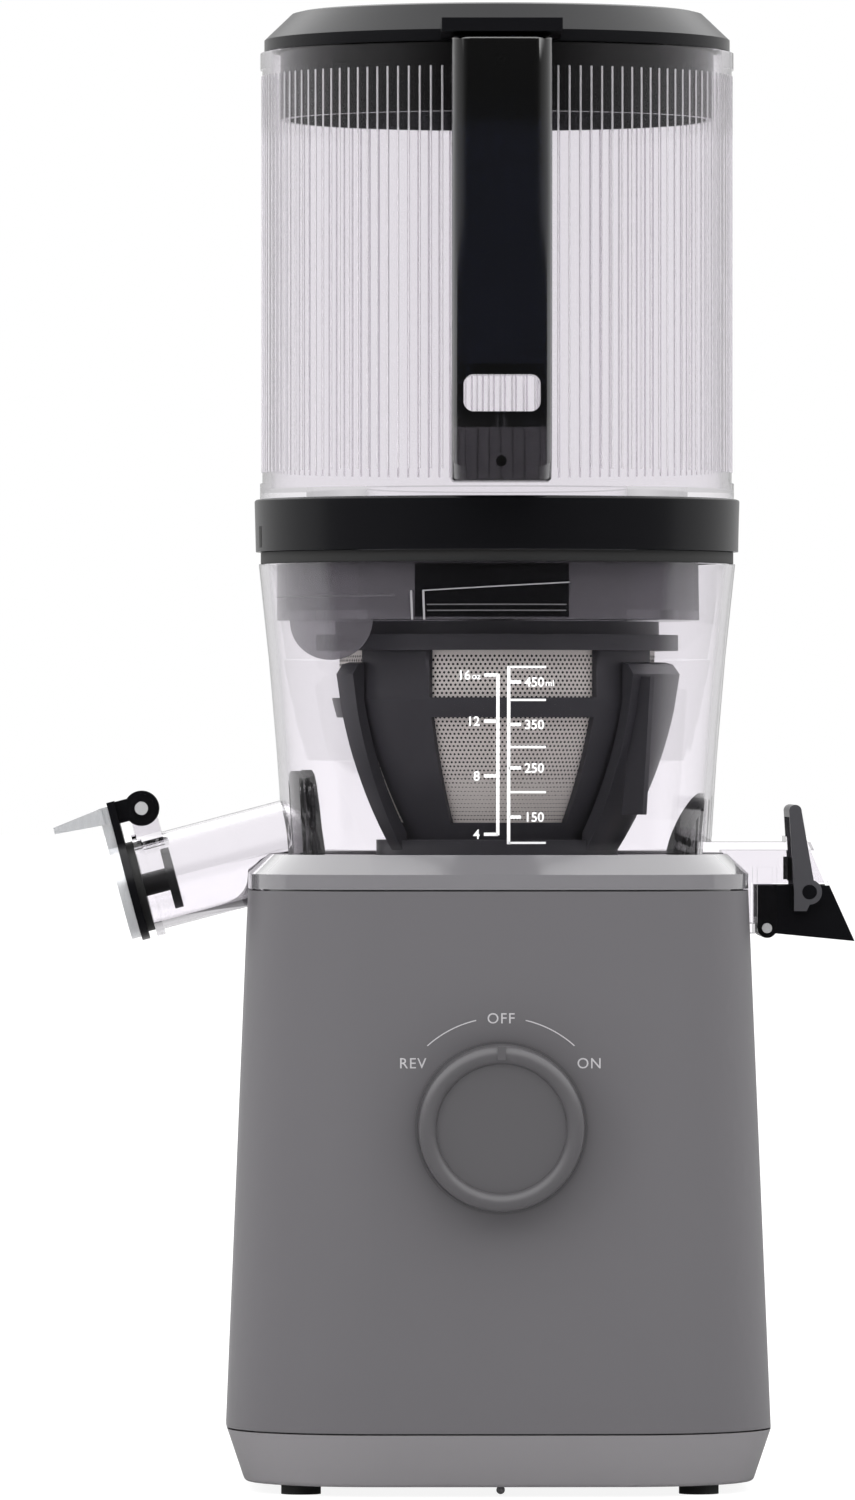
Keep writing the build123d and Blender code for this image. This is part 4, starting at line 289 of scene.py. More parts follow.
def clear_plastic(
    name, color, rough, ior=1.46, shadow=(0.9, 0.9, 0.9), foot=None, clarity=1.0, coat=0.0
):
    """Clear or smoked plastic; foot is a second colour with the heights where it fades out.

    Shadow rays meet a clear shader of the shadow colour, so that the piece casts a light shadow.
    """
    material, nodes, links, shader = new_material(name)
    surface = group_node(
        nodes,
        "grain",
        {"Grain Scale": 60.0, "Grain Depth": 0.02, "Roughness": rough, "Roughness Spread": 0.01},
    )
    links.new(surface["Roughness"], shader.inputs["Roughness"])
    tint = drifting_color(nodes, color, 0.02)
    if foot is not None:
        foot_color, foot_low, foot_high = foot
        mask = group_node(nodes, "height", {"Low": foot_low, "High": foot_high})["Mask"]
        two = add_node(nodes, "ShaderNodeMix", {}, data_type="RGBA")
        two.inputs["A"].default_value = (*foot_color, 1.0)
        links.new(mask, two.inputs["Factor"])
        links.new(tint, two.inputs["B"])
        tint = two.outputs["Result"]
    links.new(tint, shader.inputs["Base Color"])
    fill(shader, {"Transmission Weight": clarity, "IOR": ior})
    fill(shader, {"Coat Weight": coat, "Coat Roughness": 0.1, "Coat IOR": 1.8})
    through = add_node(nodes, "ShaderNodeBsdfTransparent", {"Color": (*shadow, 1.0)})
    shadow_rays = nodes.new("ShaderNodeLightPath").outputs["Is Shadow Ray"]
    both = mixed(nodes, links, shadow_rays, shader.outputs["BSDF"], through.outputs["BSDF"])
    links.new(both, nodes["Material Output"].inputs["Surface"])
    return material


def machined_metal(name, color, rough, lines, depth, metallic=1.0):
    """Metal with the fine rings of turning or grinding."""
    material, nodes, links, shader = new_material(name)
    surface = group_node(nodes, "lines", {"Lines": lines, "Depth": depth, "Roughness": rough})
    links.new(surface["Roughness"], shader.inputs["Roughness"])
    links.new(surface["Normal"], shader.inputs["Normal"])
    links.new(drifting_color(nodes, color, 0.08), shader.inputs["Base Color"])
    fill(shader, {"Metallic": metallic})
    return material


def printed_ink(name, color):
    """Thin printed ink."""
    return grained_plastic(name, color, rough=0.5, grain=4000.0, depth=0.02, drift=0.03)


finishes = {}


def finish(name):
    """A finish of this juicer by name, made the first time it is asked for."""
    if name not in finishes:
        finishes[name] = FINISH_MAKERS[name](name)
    return finishes[name]


def colour(field):
    """A colour that the user can set in the panel."""
    return tuple(getattr(bpy.context.scene.juicer_colours, field))


def handle_smoke(name):
    """Smoked plastic of the handle, nearly black where it is solid and lighter in its thin foot."""
    slot_low = low("hopper_handle").z + 20 * MM
    foot = ((0.07, 0.067, 0.073), slot_low - 3 * MM, slot_low)
    return clear_plastic(
        name, (0.006, 0.0075, 0.014), 0.1, 1.6, (0.06, 0.06, 0.08), foot, coat=1.0
    )


FINISH_MAKERS = {
    "warm_grey": lambda n: grained_plastic(n, colour("casing"), 0.46, 2600, 0.06, 0.03, coat=0.03),
    "pan_grey": lambda n: grained_plastic(n, colour("pan"), 0.34, 2600, 0.04, 0.03, coat=0.1),
    "deck_grey": lambda n: grained_plastic(n, colour("deck"), 0.12, 900, 0.002, 0.02, coat=1.0),
    "knob_grey": lambda n: grained_plastic(n, colour("knob"), 0.36, 2600, 0.06, 0.03, coat=0.05),
    "clear": lambda n: clear_plastic(n, colour("clear"), 0.015),
    "smoke_clear": lambda n: clear_plastic(n, colour("smoke"), 0.04, clarity=0.7),
    "skirt_smoke": lambda n: clear_plastic(n, colour("skirt"), 0.05, shadow=(0.2, 0.2, 0.21)),
    "flute_clear": lambda n: clear_plastic(n, colour("clear"), 0.05, clarity=0.72),
    "handle_smoke": handle_smoke,
    "black_gloss": lambda n: grained_plastic(n, (0.004, 0.004, 0.005), 0.24, 900, 0.002, 0.03, shine=0.25),
    "black_satin": lambda n: grained_plastic(n, (0.05, 0.049, 0.055), 0.36, 3600, 0.001, 0.05),
    "silver_gloss": lambda n: machined_metal(n, (0.7, 0.71, 0.73), 0.2, 900, 0.01, metallic=0.5),
    "silicone_black": lambda n: grained_plastic(n, (0.014, 0.014, 0.014), 0.55, 2800, 0.02, 0.06),
    "silicone_grey": lambda n: grained_plastic(n, (0.13, 0.13, 0.135), 0.5, 2800, 0.02, 0.05),
    "foot_rubber": lambda n: grained_plastic(n, (0.02, 0.02, 0.02), 0.7, 1500, 0.12, 0.08),
    "auger_resin": lambda n: grained_plastic(n, (0.02, 0.02, 0.021), 0.3, 2200, 0.02, 0.05),
    "gear_resin": lambda n: grained_plastic(n, (0.62, 0.60, 0.52), 0.4, 1800, 0.05, 0.05),
    "board_green": lambda n: grained_plastic(n, (0.02, 0.12, 0.05), 0.3, 900, 0.05, 0.12, coat=0.4),
    "component_black": lambda n: grained_plastic(n, (0.02, 0.02, 0.022), 0.45, 1600, 0.06, 0.05),
    "copper_wire": lambda n: machined_metal(n, (0.75, 0.33, 0.16), 0.25, 5200, 0.35),
    "mesh_steel": lambda n: machined_metal(n, (0.85, 0.81, 0.75), 0.3, 900, 0.02, metallic=0.15),
    "bright_steel": lambda n: machined_metal(n, (0.7, 0.7, 0.71), 0.2, 2600, 0.04, metallic=0.5),
    "zinc_steel": lambda n: machined_metal(n, (0.5, 0.51, 0.53), 0.32, 1800, 0.12),
    "lamination": lambda n: machined_metal(n, (0.16, 0.16, 0.17), 0.42, 4200, 0.3),
    "white_ink": lambda n: printed_ink(n, (0.92, 0.92, 0.92)),
    "grey_ink": lambda n: printed_ink(n, (0.42, 0.41, 0.425)),
    # painted shade of holes and slots, laid on as dark discs and panels
    "hole_dark": lambda n: grained_plastic(n, (0.01, 0.01, 0.01), 0.6, 1500, 0.02, 0.02),
    # painted highlights for the lock's ribs inside the clear bowl, a light copy and a dim copy of one rib
    # material
    "rib_light": lambda n: grained_plastic(n, (0.62, 0.61, 0.63), 0.2, 900, 0.01, 0.03),
    "rib_dim": lambda n: grained_plastic(n, (0.24, 0.235, 0.245), 0.2, 900, 0.01, 0.03),
}


def dress(node, name):
    """Gives a node of the frame its finish."""
    thing = frame["nodes"][node]
    thing.data.materials.clear()
    thing.data.materials.append(finish(name))


def dress_by_record(*nodes):
    """Gives nodes the finish that their material slot in the record names."""
    slots = {part["node"]: part["material_slot"] for part in frame["record"]["subparts"]}
    for node in nodes:
        dress(node, slots[node])


# ---------------------------------------------------------------- mesh helpers
def new_piece(name, made, finish_name, body):
    """Makes a piece from a bmesh, with its faces outward and its edges crisp, and rides it on a body."""
    bmesh.ops.recalc_face_normals(made, faces=made.faces)
    mesh = bpy.data.meshes.new(name)
    made.to_mesh(mesh)
    made.free()
    mesh.materials.append(finish(finish_name))
    mesh.polygons.foreach_set("use_smooth", [True] * len(mesh.polygons))
    mesh.set_sharp_from_angle(angle=radians(35))
    piece = new_object(name, mesh)
    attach(piece, body)


def surface_tree(node):
    """Search tree over a node's surface."""
    mesh = frame["nodes"][node].data
    corners = [v.co for v in mesh.vertices]
    return BVHTree.FromPolygons(corners, [list(p.vertices) for p in mesh.polygons])


def front_radius(node, height, inside):
    """Distance from the drive axis to a round node's wall, measured at the front."""
    start = 50 * MM if inside else 300 * MM
    way = Vector((0, -1, 0)) if inside else Vector((0, 1, 0))
    hit = surface_tree(node).ray_cast(Vector((0, -start, height)), way)[0]
    return -hit.y


def wall_panels(name, radii, panels, thick, finish_name, body, rows=8):
    """Thin panels on a round wall that has its radius at two heights.

    Each panel is a list of angle from the front in degrees, lowest height and highest height.
    A positive thickness stands outward from the wall and a negative one inward.
    """
    (low_z, low_radius), (high_z, high_radius) = radii
    made = bmesh.new()
    for panel in panels:
        columns = []
        for angle, bottom, top in panel:
            column = []
            for row in range(rows + 1):
                z = bottom + (top - bottom) * row / rows
                wall = low_radius + (high_radius - low_radius) * (z - low_z) / (high_z - low_z)
                for reach in (wall, wall + thick):
                    spot = (reach * sin(radians(angle)), -reach * cos(radians(angle)), z)
                    column.append(made.verts.new(spot))
            columns.append(column)
        for near, far in zip(columns, columns[1:]):
            for row in range(rows):
                lower = 2 * row
                upper = lower + 2
                made.faces.new((near[lower], near[upper], far[upper], far[lower]))
                made.faces.new((near[lower + 1], far[lower + 1], far[upper + 1], near[upper + 1]))
            made.faces.new((near[0], far[0], far[1], near[1]))
            made.faces.new((near[-2], near[-1], far[-1], far[-2]))
        for column in (columns[0], columns[-1]):
            for row in range(rows):
                lower = 2 * row
                made.faces.new((column[lower], column[lower + 1], column[lower + 3], column[lower + 2]))
    new_piece(name, made, finish_name, body)


def strip(start, end, bottom, top, steps=12):
    """Panel of even height between two angles; its bottom and top may slope from start to end."""
    bottom_start, bottom_end = bottom
    top_start, top_end = top
    return [
        (
            start + (end - start) * step / steps,
            bottom_start + (bottom_end - bottom_start) * step / steps,
            top_start + (top_end - top_start) * step / steps,
        )
        for step in range(steps + 1)
    ]


def print_on_front(name, flat_pieces, node, finish_name, body):
    """Joins flat meshes drawn in X and Z, and lays them on the front of a node."""
    tree = surface_tree(node)
    joined = bmesh.new()
    for flat in flat_pieces:
        joined.from_mesh(flat)
        bpy.data.meshes.remove(flat)
    for vert in joined.verts:
        hit = tree.ray_cast(Vector((vert.co.x, -0.3, vert.co.z)), Vector((0, 1, 0)))[0]
        vert.co.y = hit.y - INK_STAND + vert.co.y
    new_piece(name, joined, finish_name, body)


def flat_text(words, height, x, z, align="CENTER", spacing=1.0, bold=0.0):
    """Mesh of a word standing in the XZ plane, with its capitals of a height, centred at z."""
    curve = bpy.data.curves.new("word", "FONT")
    curve.body = words
    curve.size = height / CAPITAL_SHARE
    curve.align_x = align
    curve.space_character = spacing
    curve.extrude = INK_THICKNESS / 2
    curve.offset = bold
    curve.resolution_u = 4
    holder = new_object("word", curve)
    holder.location = (x, 0, z - height / 2)
    holder.rotation_euler = (pi / 2, 0, 0)
    bpy.context.view_layer.update()
    mesh = bpy.data.meshes.new_from_object(holder)
    mesh.transform(holder.matrix_world)
    bpy.data.objects.remove(holder)
    bpy.data.curves.remove(curve)
    return mesh


def ink_row(made, ends):
    """Corners of a strip of ink at one place along it, back and front at each of its two ends."""
    depths = (-INK_THICKNESS / 2, INK_THICKNESS / 2)
    return [made.verts.new((x, y, z)) for x, z in ends for y in depths]


def ink_mesh(name, made, rows):
    """Closed mesh of a strip of ink from its rows of corners."""
    for (a0, a1, b0, b1), (c0, c1, d0, d1) in zip(rows, rows[1:]):
        for face in ((a0, b0, d0, c0), (a1, c1, d1, b1), (a0, c0, c1, a1), (b0, b1, d1, d0)):
            made.faces.new(face)
    for row in (rows[0], rows[-1]):
        made.faces.new((row[0], row[1], row[3], row[2]))
    mesh = bpy.data.meshes.new(name)
    made.to_mesh(mesh)
    made.free()
    return mesh


def flat_bar(x0, z0, x1, z1, steps=24):
    """Thin bar in the XZ plane between two corners, divided so that it can bend."""
    made = bmesh.new()
    rows = []
    for step in range(steps + 1):
        if abs(x1 - x0) >= abs(z1 - z0):
            x = x0 + (x1 - x0) * (step / steps)
            ends = ((x, z0), (x, z1))
        else:
            z = z0 + (z1 - z0) * (step / steps)
            ends = ((x0, z), (x1, z))
        rows.append(ink_row(made, ends))
    return ink_mesh("bar", made, rows)


def flat_arc(radius, width, start, end, centre, steps=40):
    """Thin arc in the XZ plane; angles in degrees clockwise from straight up."""
    made = bmesh.new()
    rows = []
    for step in range(steps + 1):
        angle = radians(start + (end - start) * step / steps)
        reaches = (radius - width / 2, radius + width / 2)
        ends = [(centre[0] + reach * sin(angle), centre[1] + reach * cos(angle)) for reach in reaches]
        rows.append(ink_row(made, ends))
    return ink_mesh("arc", made, rows)


# ---------------------------------------------------------------- geometry nodes helpers
def geometry_tree(name, inputs):
    """Geometry node tree; returns it with the outputs of its start and the input of its end."""
    tree = bpy.data.node_groups.new(name, "GeometryNodeTree")
    tree.interface.new_socket("Geometry", in_out="OUTPUT", socket_type="NodeSocketGeometry")
    for socket, kind in inputs:
        tree.interface.new_socket(socket, in_out="INPUT", socket_type="NodeSocket" + kind)
    start = tree.nodes.new("NodeGroupInput")
    end = tree.nodes.new("NodeGroupOutput")
    return tree, start.outputs, end.inputs["Geometry"]


def made_by_nodes(name, tree, values, body):
    """Runs a geometry node tree with values for its inputs, and rides the plain mesh on a body."""
    holder = new_object(name + "_holder", bpy.data.meshes.new(name + "_holder"))
    modifier = holder.modifiers.new(name, "NODES")
    modifier.node_group = tree
    for item in tree.interface.items_tree:
        if item.item_type == "SOCKET" and item.in_out == "INPUT" and item.name in values:
            modifier[item.identifier] = values[item.name]
    holder.update_tag()
    bpy.context.view_layer.update()
    shown = holder.evaluated_get(bpy.context.evaluated_depsgraph_get())
    mesh = bpy.data.meshes.new_from_object(shown)
    mesh.name = name
    holder.modifiers.remove(modifier)
    bpy.data.objects.remove(holder)
    piece = new_object(name, mesh)
    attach(piece, body)


def flute_tree():
    """Upright round ribs, evenly spaced on a circle."""
    tree, start, end = geometry_tree(
        "hopper_flutes",
        (
            ("Count", "Int"),
            ("Radius", "Float"),
            ("Low", "Float"),
            ("High", "Float"),
            ("Rib Radius", "Float"),
            ("Finish", "Material"),
        ),
    )
    nodes, links = tree.nodes, tree.links
    ring = add_node(nodes, "GeometryNodeMeshCircle", {}, fill_type="NONE")
    low_end = nodes.new("ShaderNodeCombineXYZ")
    high_end = nodes.new("ShaderNodeCombineXYZ")
    line = nodes.new("GeometryNodeCurvePrimitiveLine")
    section = add_node(nodes, "GeometryNodeCurvePrimitiveCircle", {"Resolution": 10})
    rib = add_node(nodes, "GeometryNodeCurveToMesh", {"Fill Caps": True})
    stand = nodes.new("GeometryNodeInstanceOnPoints")
    real = nodes.new("GeometryNodeRealizeInstances")
    smooth = nodes.new("GeometryNodeSetShadeSmooth")
    paint = nodes.new("GeometryNodeSetMaterial")
    links.new(start["Count"], ring.inputs["Vertices"])
    links.new(start["Radius"], ring.inputs["Radius"])
    links.new(start["Low"], low_end.inputs["Z"])
    links.new(start["High"], high_end.inputs["Z"])
    links.new(low_end.outputs[0], line.inputs["Start"])
    links.new(high_end.outputs[0], line.inputs["End"])
    links.new(start["Rib Radius"], section.inputs["Radius"])
    links.new(line.outputs["Curve"], rib.inputs["Curve"])
    links.new(section.outputs["Curve"], rib.inputs["Profile Curve"])
    links.new(ring.outputs["Mesh"], stand.inputs["Points"])
    links.new(rib.outputs["Mesh"], stand.inputs["Instance"])
    links.new(stand.outputs["Instances"], real.inputs["Geometry"])
    links.new(real.outputs["Geometry"], smooth.inputs["Geometry"])
    links.new(smooth.outputs["Geometry"], paint.inputs["Geometry"])
    links.new(start["Finish"], paint.inputs["Material"])
    links.new(paint.outputs["Geometry"], end)
    return tree


def hole_tree():
    """Dark discs in staggered rows round a wall, painted as the shade in round holes; the wall may widen
    from its low to its high end.
    """
    tree, start, end = geometry_tree(
        "strainer_holes",
        (
            ("Columns", "Int"),
            ("Rows", "Int"),
            ("Low", "Float"),
            ("High", "Float"),
            ("Low Radius", "Float"),
            ("High Radius", "Float"),
            ("Bulge", "Float"),
            ("Hole Radius", "Float"),
            ("Finish", "Material"),
        ),
    )
    nodes, links = tree.nodes, tree.links
    math = math_maker(nodes, links)

    def vector(x, y, z):
        node = nodes.new("ShaderNodeCombineXYZ")
        for socket, value in zip(node.inputs, (x, y, z)):
            links.new(value, socket)
        return node.outputs[0]

    index = nodes.new("GeometryNodeInputIndex").outputs[0]
    columns, rows = start["Columns"], start["Rows"]
    row = math("FLOOR", math("DIVIDE", math("ADD", index, 0.5), columns))
    column = math("SUBTRACT", index, math("MULTIPLY", row, columns))
    half_step = math("MULTIPLY", math("MODULO", row, 2.0), 0.5)
    step = math("DIVIDE", 2 * pi, columns)
    angle = math("MULTIPLY", math("ADD", column, half_step), step)
    share = math("DIVIDE", row, math("SUBTRACT", rows, 1.0))
    rise = math("SUBTRACT", start["High"], start["Low"])
    widening = math("SUBTRACT", start["High Radius"], start["Low Radius"])
    straight = math("ADD", start["Low Radius"], math("MULTIPLY", share, widening))
    hump = math("MULTIPLY", math("MULTIPLY", share, math("SUBTRACT", 1.0, share)), 4.0)
    radius = math("ADD", straight, math("MULTIPLY", hump, start["Bulge"]))
    height = math("ADD", start["Low"], math("MULTIPLY", share, rise))
    cosine, sine = math("COSINE", angle), math("SINE", angle)
    lean = math("DIVIDE", math("MULTIPLY", widening, -1.0), rise)
    points = nodes.new("GeometryNodePoints")
    links.new(math("MULTIPLY", columns, rows), points.inputs["Count"])
    spot = vector(math("MULTIPLY", cosine, radius), math("MULTIPLY", sine, radius), height)
    links.new(spot, points.inputs["Position"])
    aim = add_node(nodes, "FunctionNodeAlignRotationToVector", {}, axis="Z")
    links.new(vector(cosine, sine, lean), aim.inputs["Vector"])
    # each hole is a dark disc of painted shade, not a cut
    disc = add_node(nodes, "GeometryNodeMeshCircle", {"Vertices": 8}, fill_type="NGON")
    links.new(start["Hole Radius"], disc.inputs["Radius"])
    stand = nodes.new("GeometryNodeInstanceOnPoints")
    links.new(points.outputs[0], stand.inputs["Points"])
    links.new(disc.outputs["Mesh"], stand.inputs["Instance"])
    links.new(aim.outputs["Rotation"], stand.inputs["Rotation"])
    links.new(math("DIVIDE", radius, start["High Radius"]), stand.inputs["Scale"])
    real = nodes.new("GeometryNodeRealizeInstances")
    links.new(stand.outputs["Instances"], real.inputs["Geometry"])
    paint = nodes.new("GeometryNodeSetMaterial")
    links.new(real.outputs["Geometry"], paint.inputs["Geometry"])
    links.new(start["Finish"], paint.inputs["Material"])
    links.new(paint.outputs["Geometry"], end)
    return tree


# ---------------------------------------------------------------- what the user can change
def colour_setting(name, description, default):
    """A colour that the user can set."""
    return bpy.props.FloatVectorProperty(
        name=name, description=description, subtype="COLOR", size=3, min=0.0, max=1.0, default=default
    )


def length_setting(name, description, default):
    """A length that the user can set."""
    return bpy.props.FloatProperty(name=name, description=description, unit="LENGTH", default=default)


def level_setting(name, description, lowest, default):
    """A brightness that the user can set."""
    return bpy.props.FloatProperty(name=name, description=description, min=lowest, default=default)


class JuicerColours(bpy.types.PropertyGroup):
    casing: colour_setting("Casing", "Matte colour of the base's shell", (0.101, 0.0965, 0.104))
    pan: colour_setting(
        "Bottom pan", "Colour of the band round the bottom of the base", (0.195, 0.187, 0.196)
    )
    deck: colour_setting("Deck", "Colour of the glossy ring on top of the base", (0.155, 0.151, 0.16))
    knob: colour_setting("Knob", "Colour of the control knob", (0.076, 0.073, 0.078))
    clear: colour_setting("Clear resin", "Tint of the bowl and the hopper", (0.91, 0.89, 0.92))
    smoke: colour_setting("Smoked resin", "Tint of the feed plate", (0.26, 0.25, 0.27))
    skirt: colour_setting("Lid skirt", "Tint of the skirt under the lid", (0.016, 0.0155, 0.018))


class JuicerHopper(bpy.types.PropertyGroup):
    flutes: bpy.props.IntProperty(
        name="Flutes",
        description="How many upright flutes run round the hopper",
        min=24,
        max=240,
        default=128,
    )
    flute_radius: length_setting("Flute radius", "Radius of the bead between two flutes", 0.32 * MM)
    flute_low: length_setting("Lower end", "Height of the flutes above the hopper's foot", 8.2 * MM)
    flute_high: length_setting("Upper end", "Distance of the flutes below the hopper's rim", 4.5 * MM)


class JuicerMarks(bpy.types.PropertyGroup):
    arc_radius: length_setting("Arc radius", "Radius of the two arcs round the knob", 33.0 * MM)
    word_height: length_setting("Word height", "Height of the capitals round the knob", 3.1 * MM)
    digit_height: length_setting(
        "Digit height", "Height of the digits of the measuring scale", 2.75 * MM
    )
    line_width: length_setting("Line width", "Width of the measuring scale's lines", 1.0 * MM)


class JuicerStrainer(bpy.types.PropertyGroup):
    hole_radius: length_setting("Hole radius", "Radius of each hole in the strainer's steel", 0.4 * MM)
    hole_pitch: length_setting("Hole pitch", "Distance between neighbouring holes", 1.4 * MM)


class JuicerStage(bpy.types.PropertyGroup):
    distance: length_setting(
        "Camera distance", "Distance of the camera in front of the drive axis", 4.0
    )
    camera_side: length_setting("Camera side", "Sideways place of the camera", -0.057)
    camera_height: length_setting("Camera height", "Height of the camera above the worktop", 0.2243)
    view_height: length_setting(
        "View height", "Height that the view takes in at the drive axis", 0.4596
    )
    look_side: length_setting(
        "Look side", "Sideways place that the camera looks at, at the drive axis", -0.0213
    )
    front_level: level_setting(
        "Front level", "How bright the surroundings are on the camera's side", 0.0, 0.04
    )
    side_level: level_setting(
        "Side level", "How bright the glow at each side of the camera is", 0.1, 0.8
    )
    back_level: level_setting(
        "Back level", "How bright the surroundings are behind the juicer", 0.0, 0.6
    )
    top_level: level_setting("Top level", "How bright the surroundings are overhead", 0.0, 2.2)


# ---------------------------------------------------------------- stage
def soft_lamp(name, place, aim, size, power):
    """Large soft area lamp that points at a place and lights without being seen."""
    data = bpy.data.lights.new(name, "AREA")
    data.shape = "RECTANGLE"
    data.size, data.size_y = size
    data.energy = power
    lamp = aimed_object(name, data, place, aim)
    lamp.visible_transmission = False
    lamp.visible_glossy = False


def backdrop_rays(nodes, links):
    """1 for camera rays and for rays that went straight through clear pieces, else 0."""
    math = math_maker(nodes, links)
    rays = nodes.new("ShaderNodeLightPath").outputs
    straight = math("LESS_THAN", rays["Glossy Depth"], 0.5)
    return math("MAXIMUM", rays["Is Camera Ray"], math("MULTIPLY", rays["Is Transmission Ray"], straight))


def pale_world(front_level, side_level, back_level, top_level):
    """World that is white to look at; its light is soft, with a broad glow at each side."""
    world = bpy.data.worlds.new("pale_world")
    world.use_nodes = True
    nodes, links = world.node_tree.nodes, world.node_tree.links
    nodes.clear()
    math = math_maker(nodes, links)
    way = nodes.new("ShaderNodeTexCoord")
    split = nodes.new("ShaderNodeSeparateXYZ")
    links.new(way.outputs["Generated"], split.inputs[0])
    sideways = math("ABSOLUTE", split.outputs["X"])
    forward = math("MULTIPLY", split.outputs["Y"], -1.0)
    # 0 towards the camera, 1 straight behind the juicer
    bearing = math("DIVIDE", math("ARCTAN2", sideways, forward), pi)
    around = nodes.new("ShaderNodeValToRGB")
    around.color_ramp.interpolation = "B_SPLINE"
    # bearing in degrees and level, as a share of the side level
    stops = (
        (0, front_level / side_level),
        (28, front_level / side_level),
        (55, 0.33),
        (90, 0.5),
        (120, 1.0),
        (150, back_level / side_level),
        (180, back_level / side_level),
    )
    ramp = around.color_ramp.elements
    ramp.remove(ramp[0])
    for number, (degree, level) in enumerate(stops):
        stop = ramp[0] if number == 0 else ramp.new(degree / 180)
        stop.position = degree / 180
        stop.color = (level, level, level, 1.0)
    links.new(bearing, around.inputs["Fac"])
    overhead = add_node(
        nodes,
        "ShaderNodeMapRange",
        {"From Min": 0.2, "From Max": 0.55},
        interpolation_type="SMOOTHSTEP",
    )
    links.new(split.outputs["Z"], overhead.inputs["Value"])
    level = add_node(nodes, "ShaderNodeMix", {"B": top_level})
    links.new(overhead.outputs["Result"], level.inputs["Factor"])
    links.new(math("MULTIPLY", around.outputs["Color"], side_level), level.inputs["A"])
    dim = add_node(nodes, "ShaderNodeBackground", {"Color": (1.0, 1.0, 1.0, 1.0)})
    links.new(level.outputs["Result"], dim.inputs["Strength"])
    white = add_node(nodes, "ShaderNodeBackground", {"Color": (1.0, 1.0, 1.0, 1.0)})
    out = nodes.new("ShaderNodeOutputWorld")
    seen = backdrop_rays(nodes, links)
    links.new(mixed(nodes, links, seen, dim.outputs[0], white.outputs[0]), out.inputs["Surface"])
    bpy.context.scene.world = world


def pale_floor_material():
    """Floor that looks white and keeps the object's shadow."""
    material, nodes, links, shader = new_material("pale_floor")
    math = math_maker(nodes, links)
    fill(shader, {"Base Color": (0.88, 0.88, 0.88, 1.0), "Roughness": 0.7})
    glow = add_node(nodes, "ShaderNodeEmission", {"Strength": 1.12})
    share = math("MULTIPLY", backdrop_rays(nodes, links), 0.8)
    pale = mixed(nodes, links, share, shader.outputs["BSDF"], glow.outputs["Emission"])
    # mirrored in the juicer the floor is dim towards the camera, as a dark studio would be
    split = nodes.new("ShaderNodeSeparateXYZ")
    links.new(nodes.new("ShaderNodeTexCoord").outputs["Object"], split.inputs[0])
    fade = add_node(
        nodes,
        "ShaderNodeMapRange",
        {"From Min": -0.1, "From Max": 0.25, "To Min": 0.04, "To Max": 0.75},
    )
    links.new(split.outputs["Y"], fade.inputs["Value"])
    dim = nodes.new("ShaderNodeEmission")
    links.new(fade.outputs["Result"], dim.inputs["Strength"])
    depth = nodes.new("ShaderNodeLightPath").outputs["Glossy Depth"]
    mirrored = math("GREATER_THAN", depth, 0.5)
    last = mixed(nodes, links, mirrored, pale, dim.outputs["Emission"])
    links.new(last, nodes["Material Output"].inputs["Surface"])
    return material


class JUICER_OT_stage(bpy.types.Operator):
    """Sets the camera, the lamps, the pale world and the floor"""

    bl_idname = "juicer.stage"
    bl_label = "Stage"

    def execute(self, context):
        stage = context.scene.juicer_stage
        context.scene.view_settings.view_transform = "Standard"
        pale_world(stage.front_level, stage.side_level, stage.back_level, stage.top_level)
        data = bpy.data.cameras.new("camera")
        data.sensor_fit = "VERTICAL"
        data.sensor_height = 36.0
        data.lens = data.sensor_height * stage.distance / stage.view_height
        data.clip_end = 100.0
        place = (stage.camera_side, -stage.distance, stage.camera_height)
        aim = (stage.look_side, 0, stage.camera_height)
        context.scene.camera = aimed_object("camera", data, place, aim)
        soft_lamp("key", (-1.8, -1.7, 0.9), (0, 0, 0.22), (0.8, 1.5), 11)
        soft_lamp("fill", (1.8, -1.7, 0.7), (0, 0, 0.22), (0.8, 1.5), 2)
        soft_lamp("top", (0, -0.1, 1.9), (0, 0, 0.2), (1.2, 1.2), 2)
        mesh = bpy.data.meshes.new("floor")
        reach = 30.0  # far past the edges of the view
        corners = [(-reach, -reach, 0), (reach, -reach, 0), (reach, reach, 0), (-reach, reach, 0)]
        mesh.from_pydata(corners, [], [(0, 1, 2, 3)])
        mesh.materials.append(pale_floor_material())
        floor = new_object("floor", mesh)
        return {"FINISHED"}


# ---------------------------------------------------------------- pieces
class JUICER_OT_housing(bpy.types.Operator):
    """Gives the motor base its finishes"""

    bl_idname = "juicer.housing"
    bl_label = "Motor base"

    def execute(self, context):
        dress_by_record(
            "rubber_feet", "bottom_pan", "housing_screws", "body_shell", "deck_ring", "bowl_seat",
            "cord_gland", "control_knob", "switch_shaft",
        )
        made = bmesh.new()
        bmesh.ops.create_uvsphere(made, u_segments=24, v_segments=16, radius=1.3 * MM)
        bmesh.ops.translate(made, verts=made.verts, vec=(0, pan_front + 12 * MM, pan_bottom - 0.1 * MM))
        new_piece("pan_pip", made, "pan_grey", "base")
        return {"FINISHED"}


class JUICER_OT_works(bpy.types.Operator):
    """Gives the motor, the gearbox and the electrics inside the base their finishes"""

    bl_idname = "juicer.works"
    bl_label = "Motor and gearbox"

    def execute(self, context):
        dress_by_record(
            "motor_can", "motor_end_plate", "motor_stator", "motor_windings", "motor_bearings",
            "motor_rotor", "cooling_fan", "sun_gear", "planet_gear_1", "planet_gear_2",
            "planet_gear_3", "planet_pins", "planet_carrier", "ring_gear", "gearbox_housing",
            "gearbox_cover", "gearbox_screws", "drive_bearing", "drive_shaft", "shaft_seal",
            "vibration_mounts", "circuit_board", "board_components", "board_screws",
            "rotary_switch",
        )
        return {"FINISHED"}


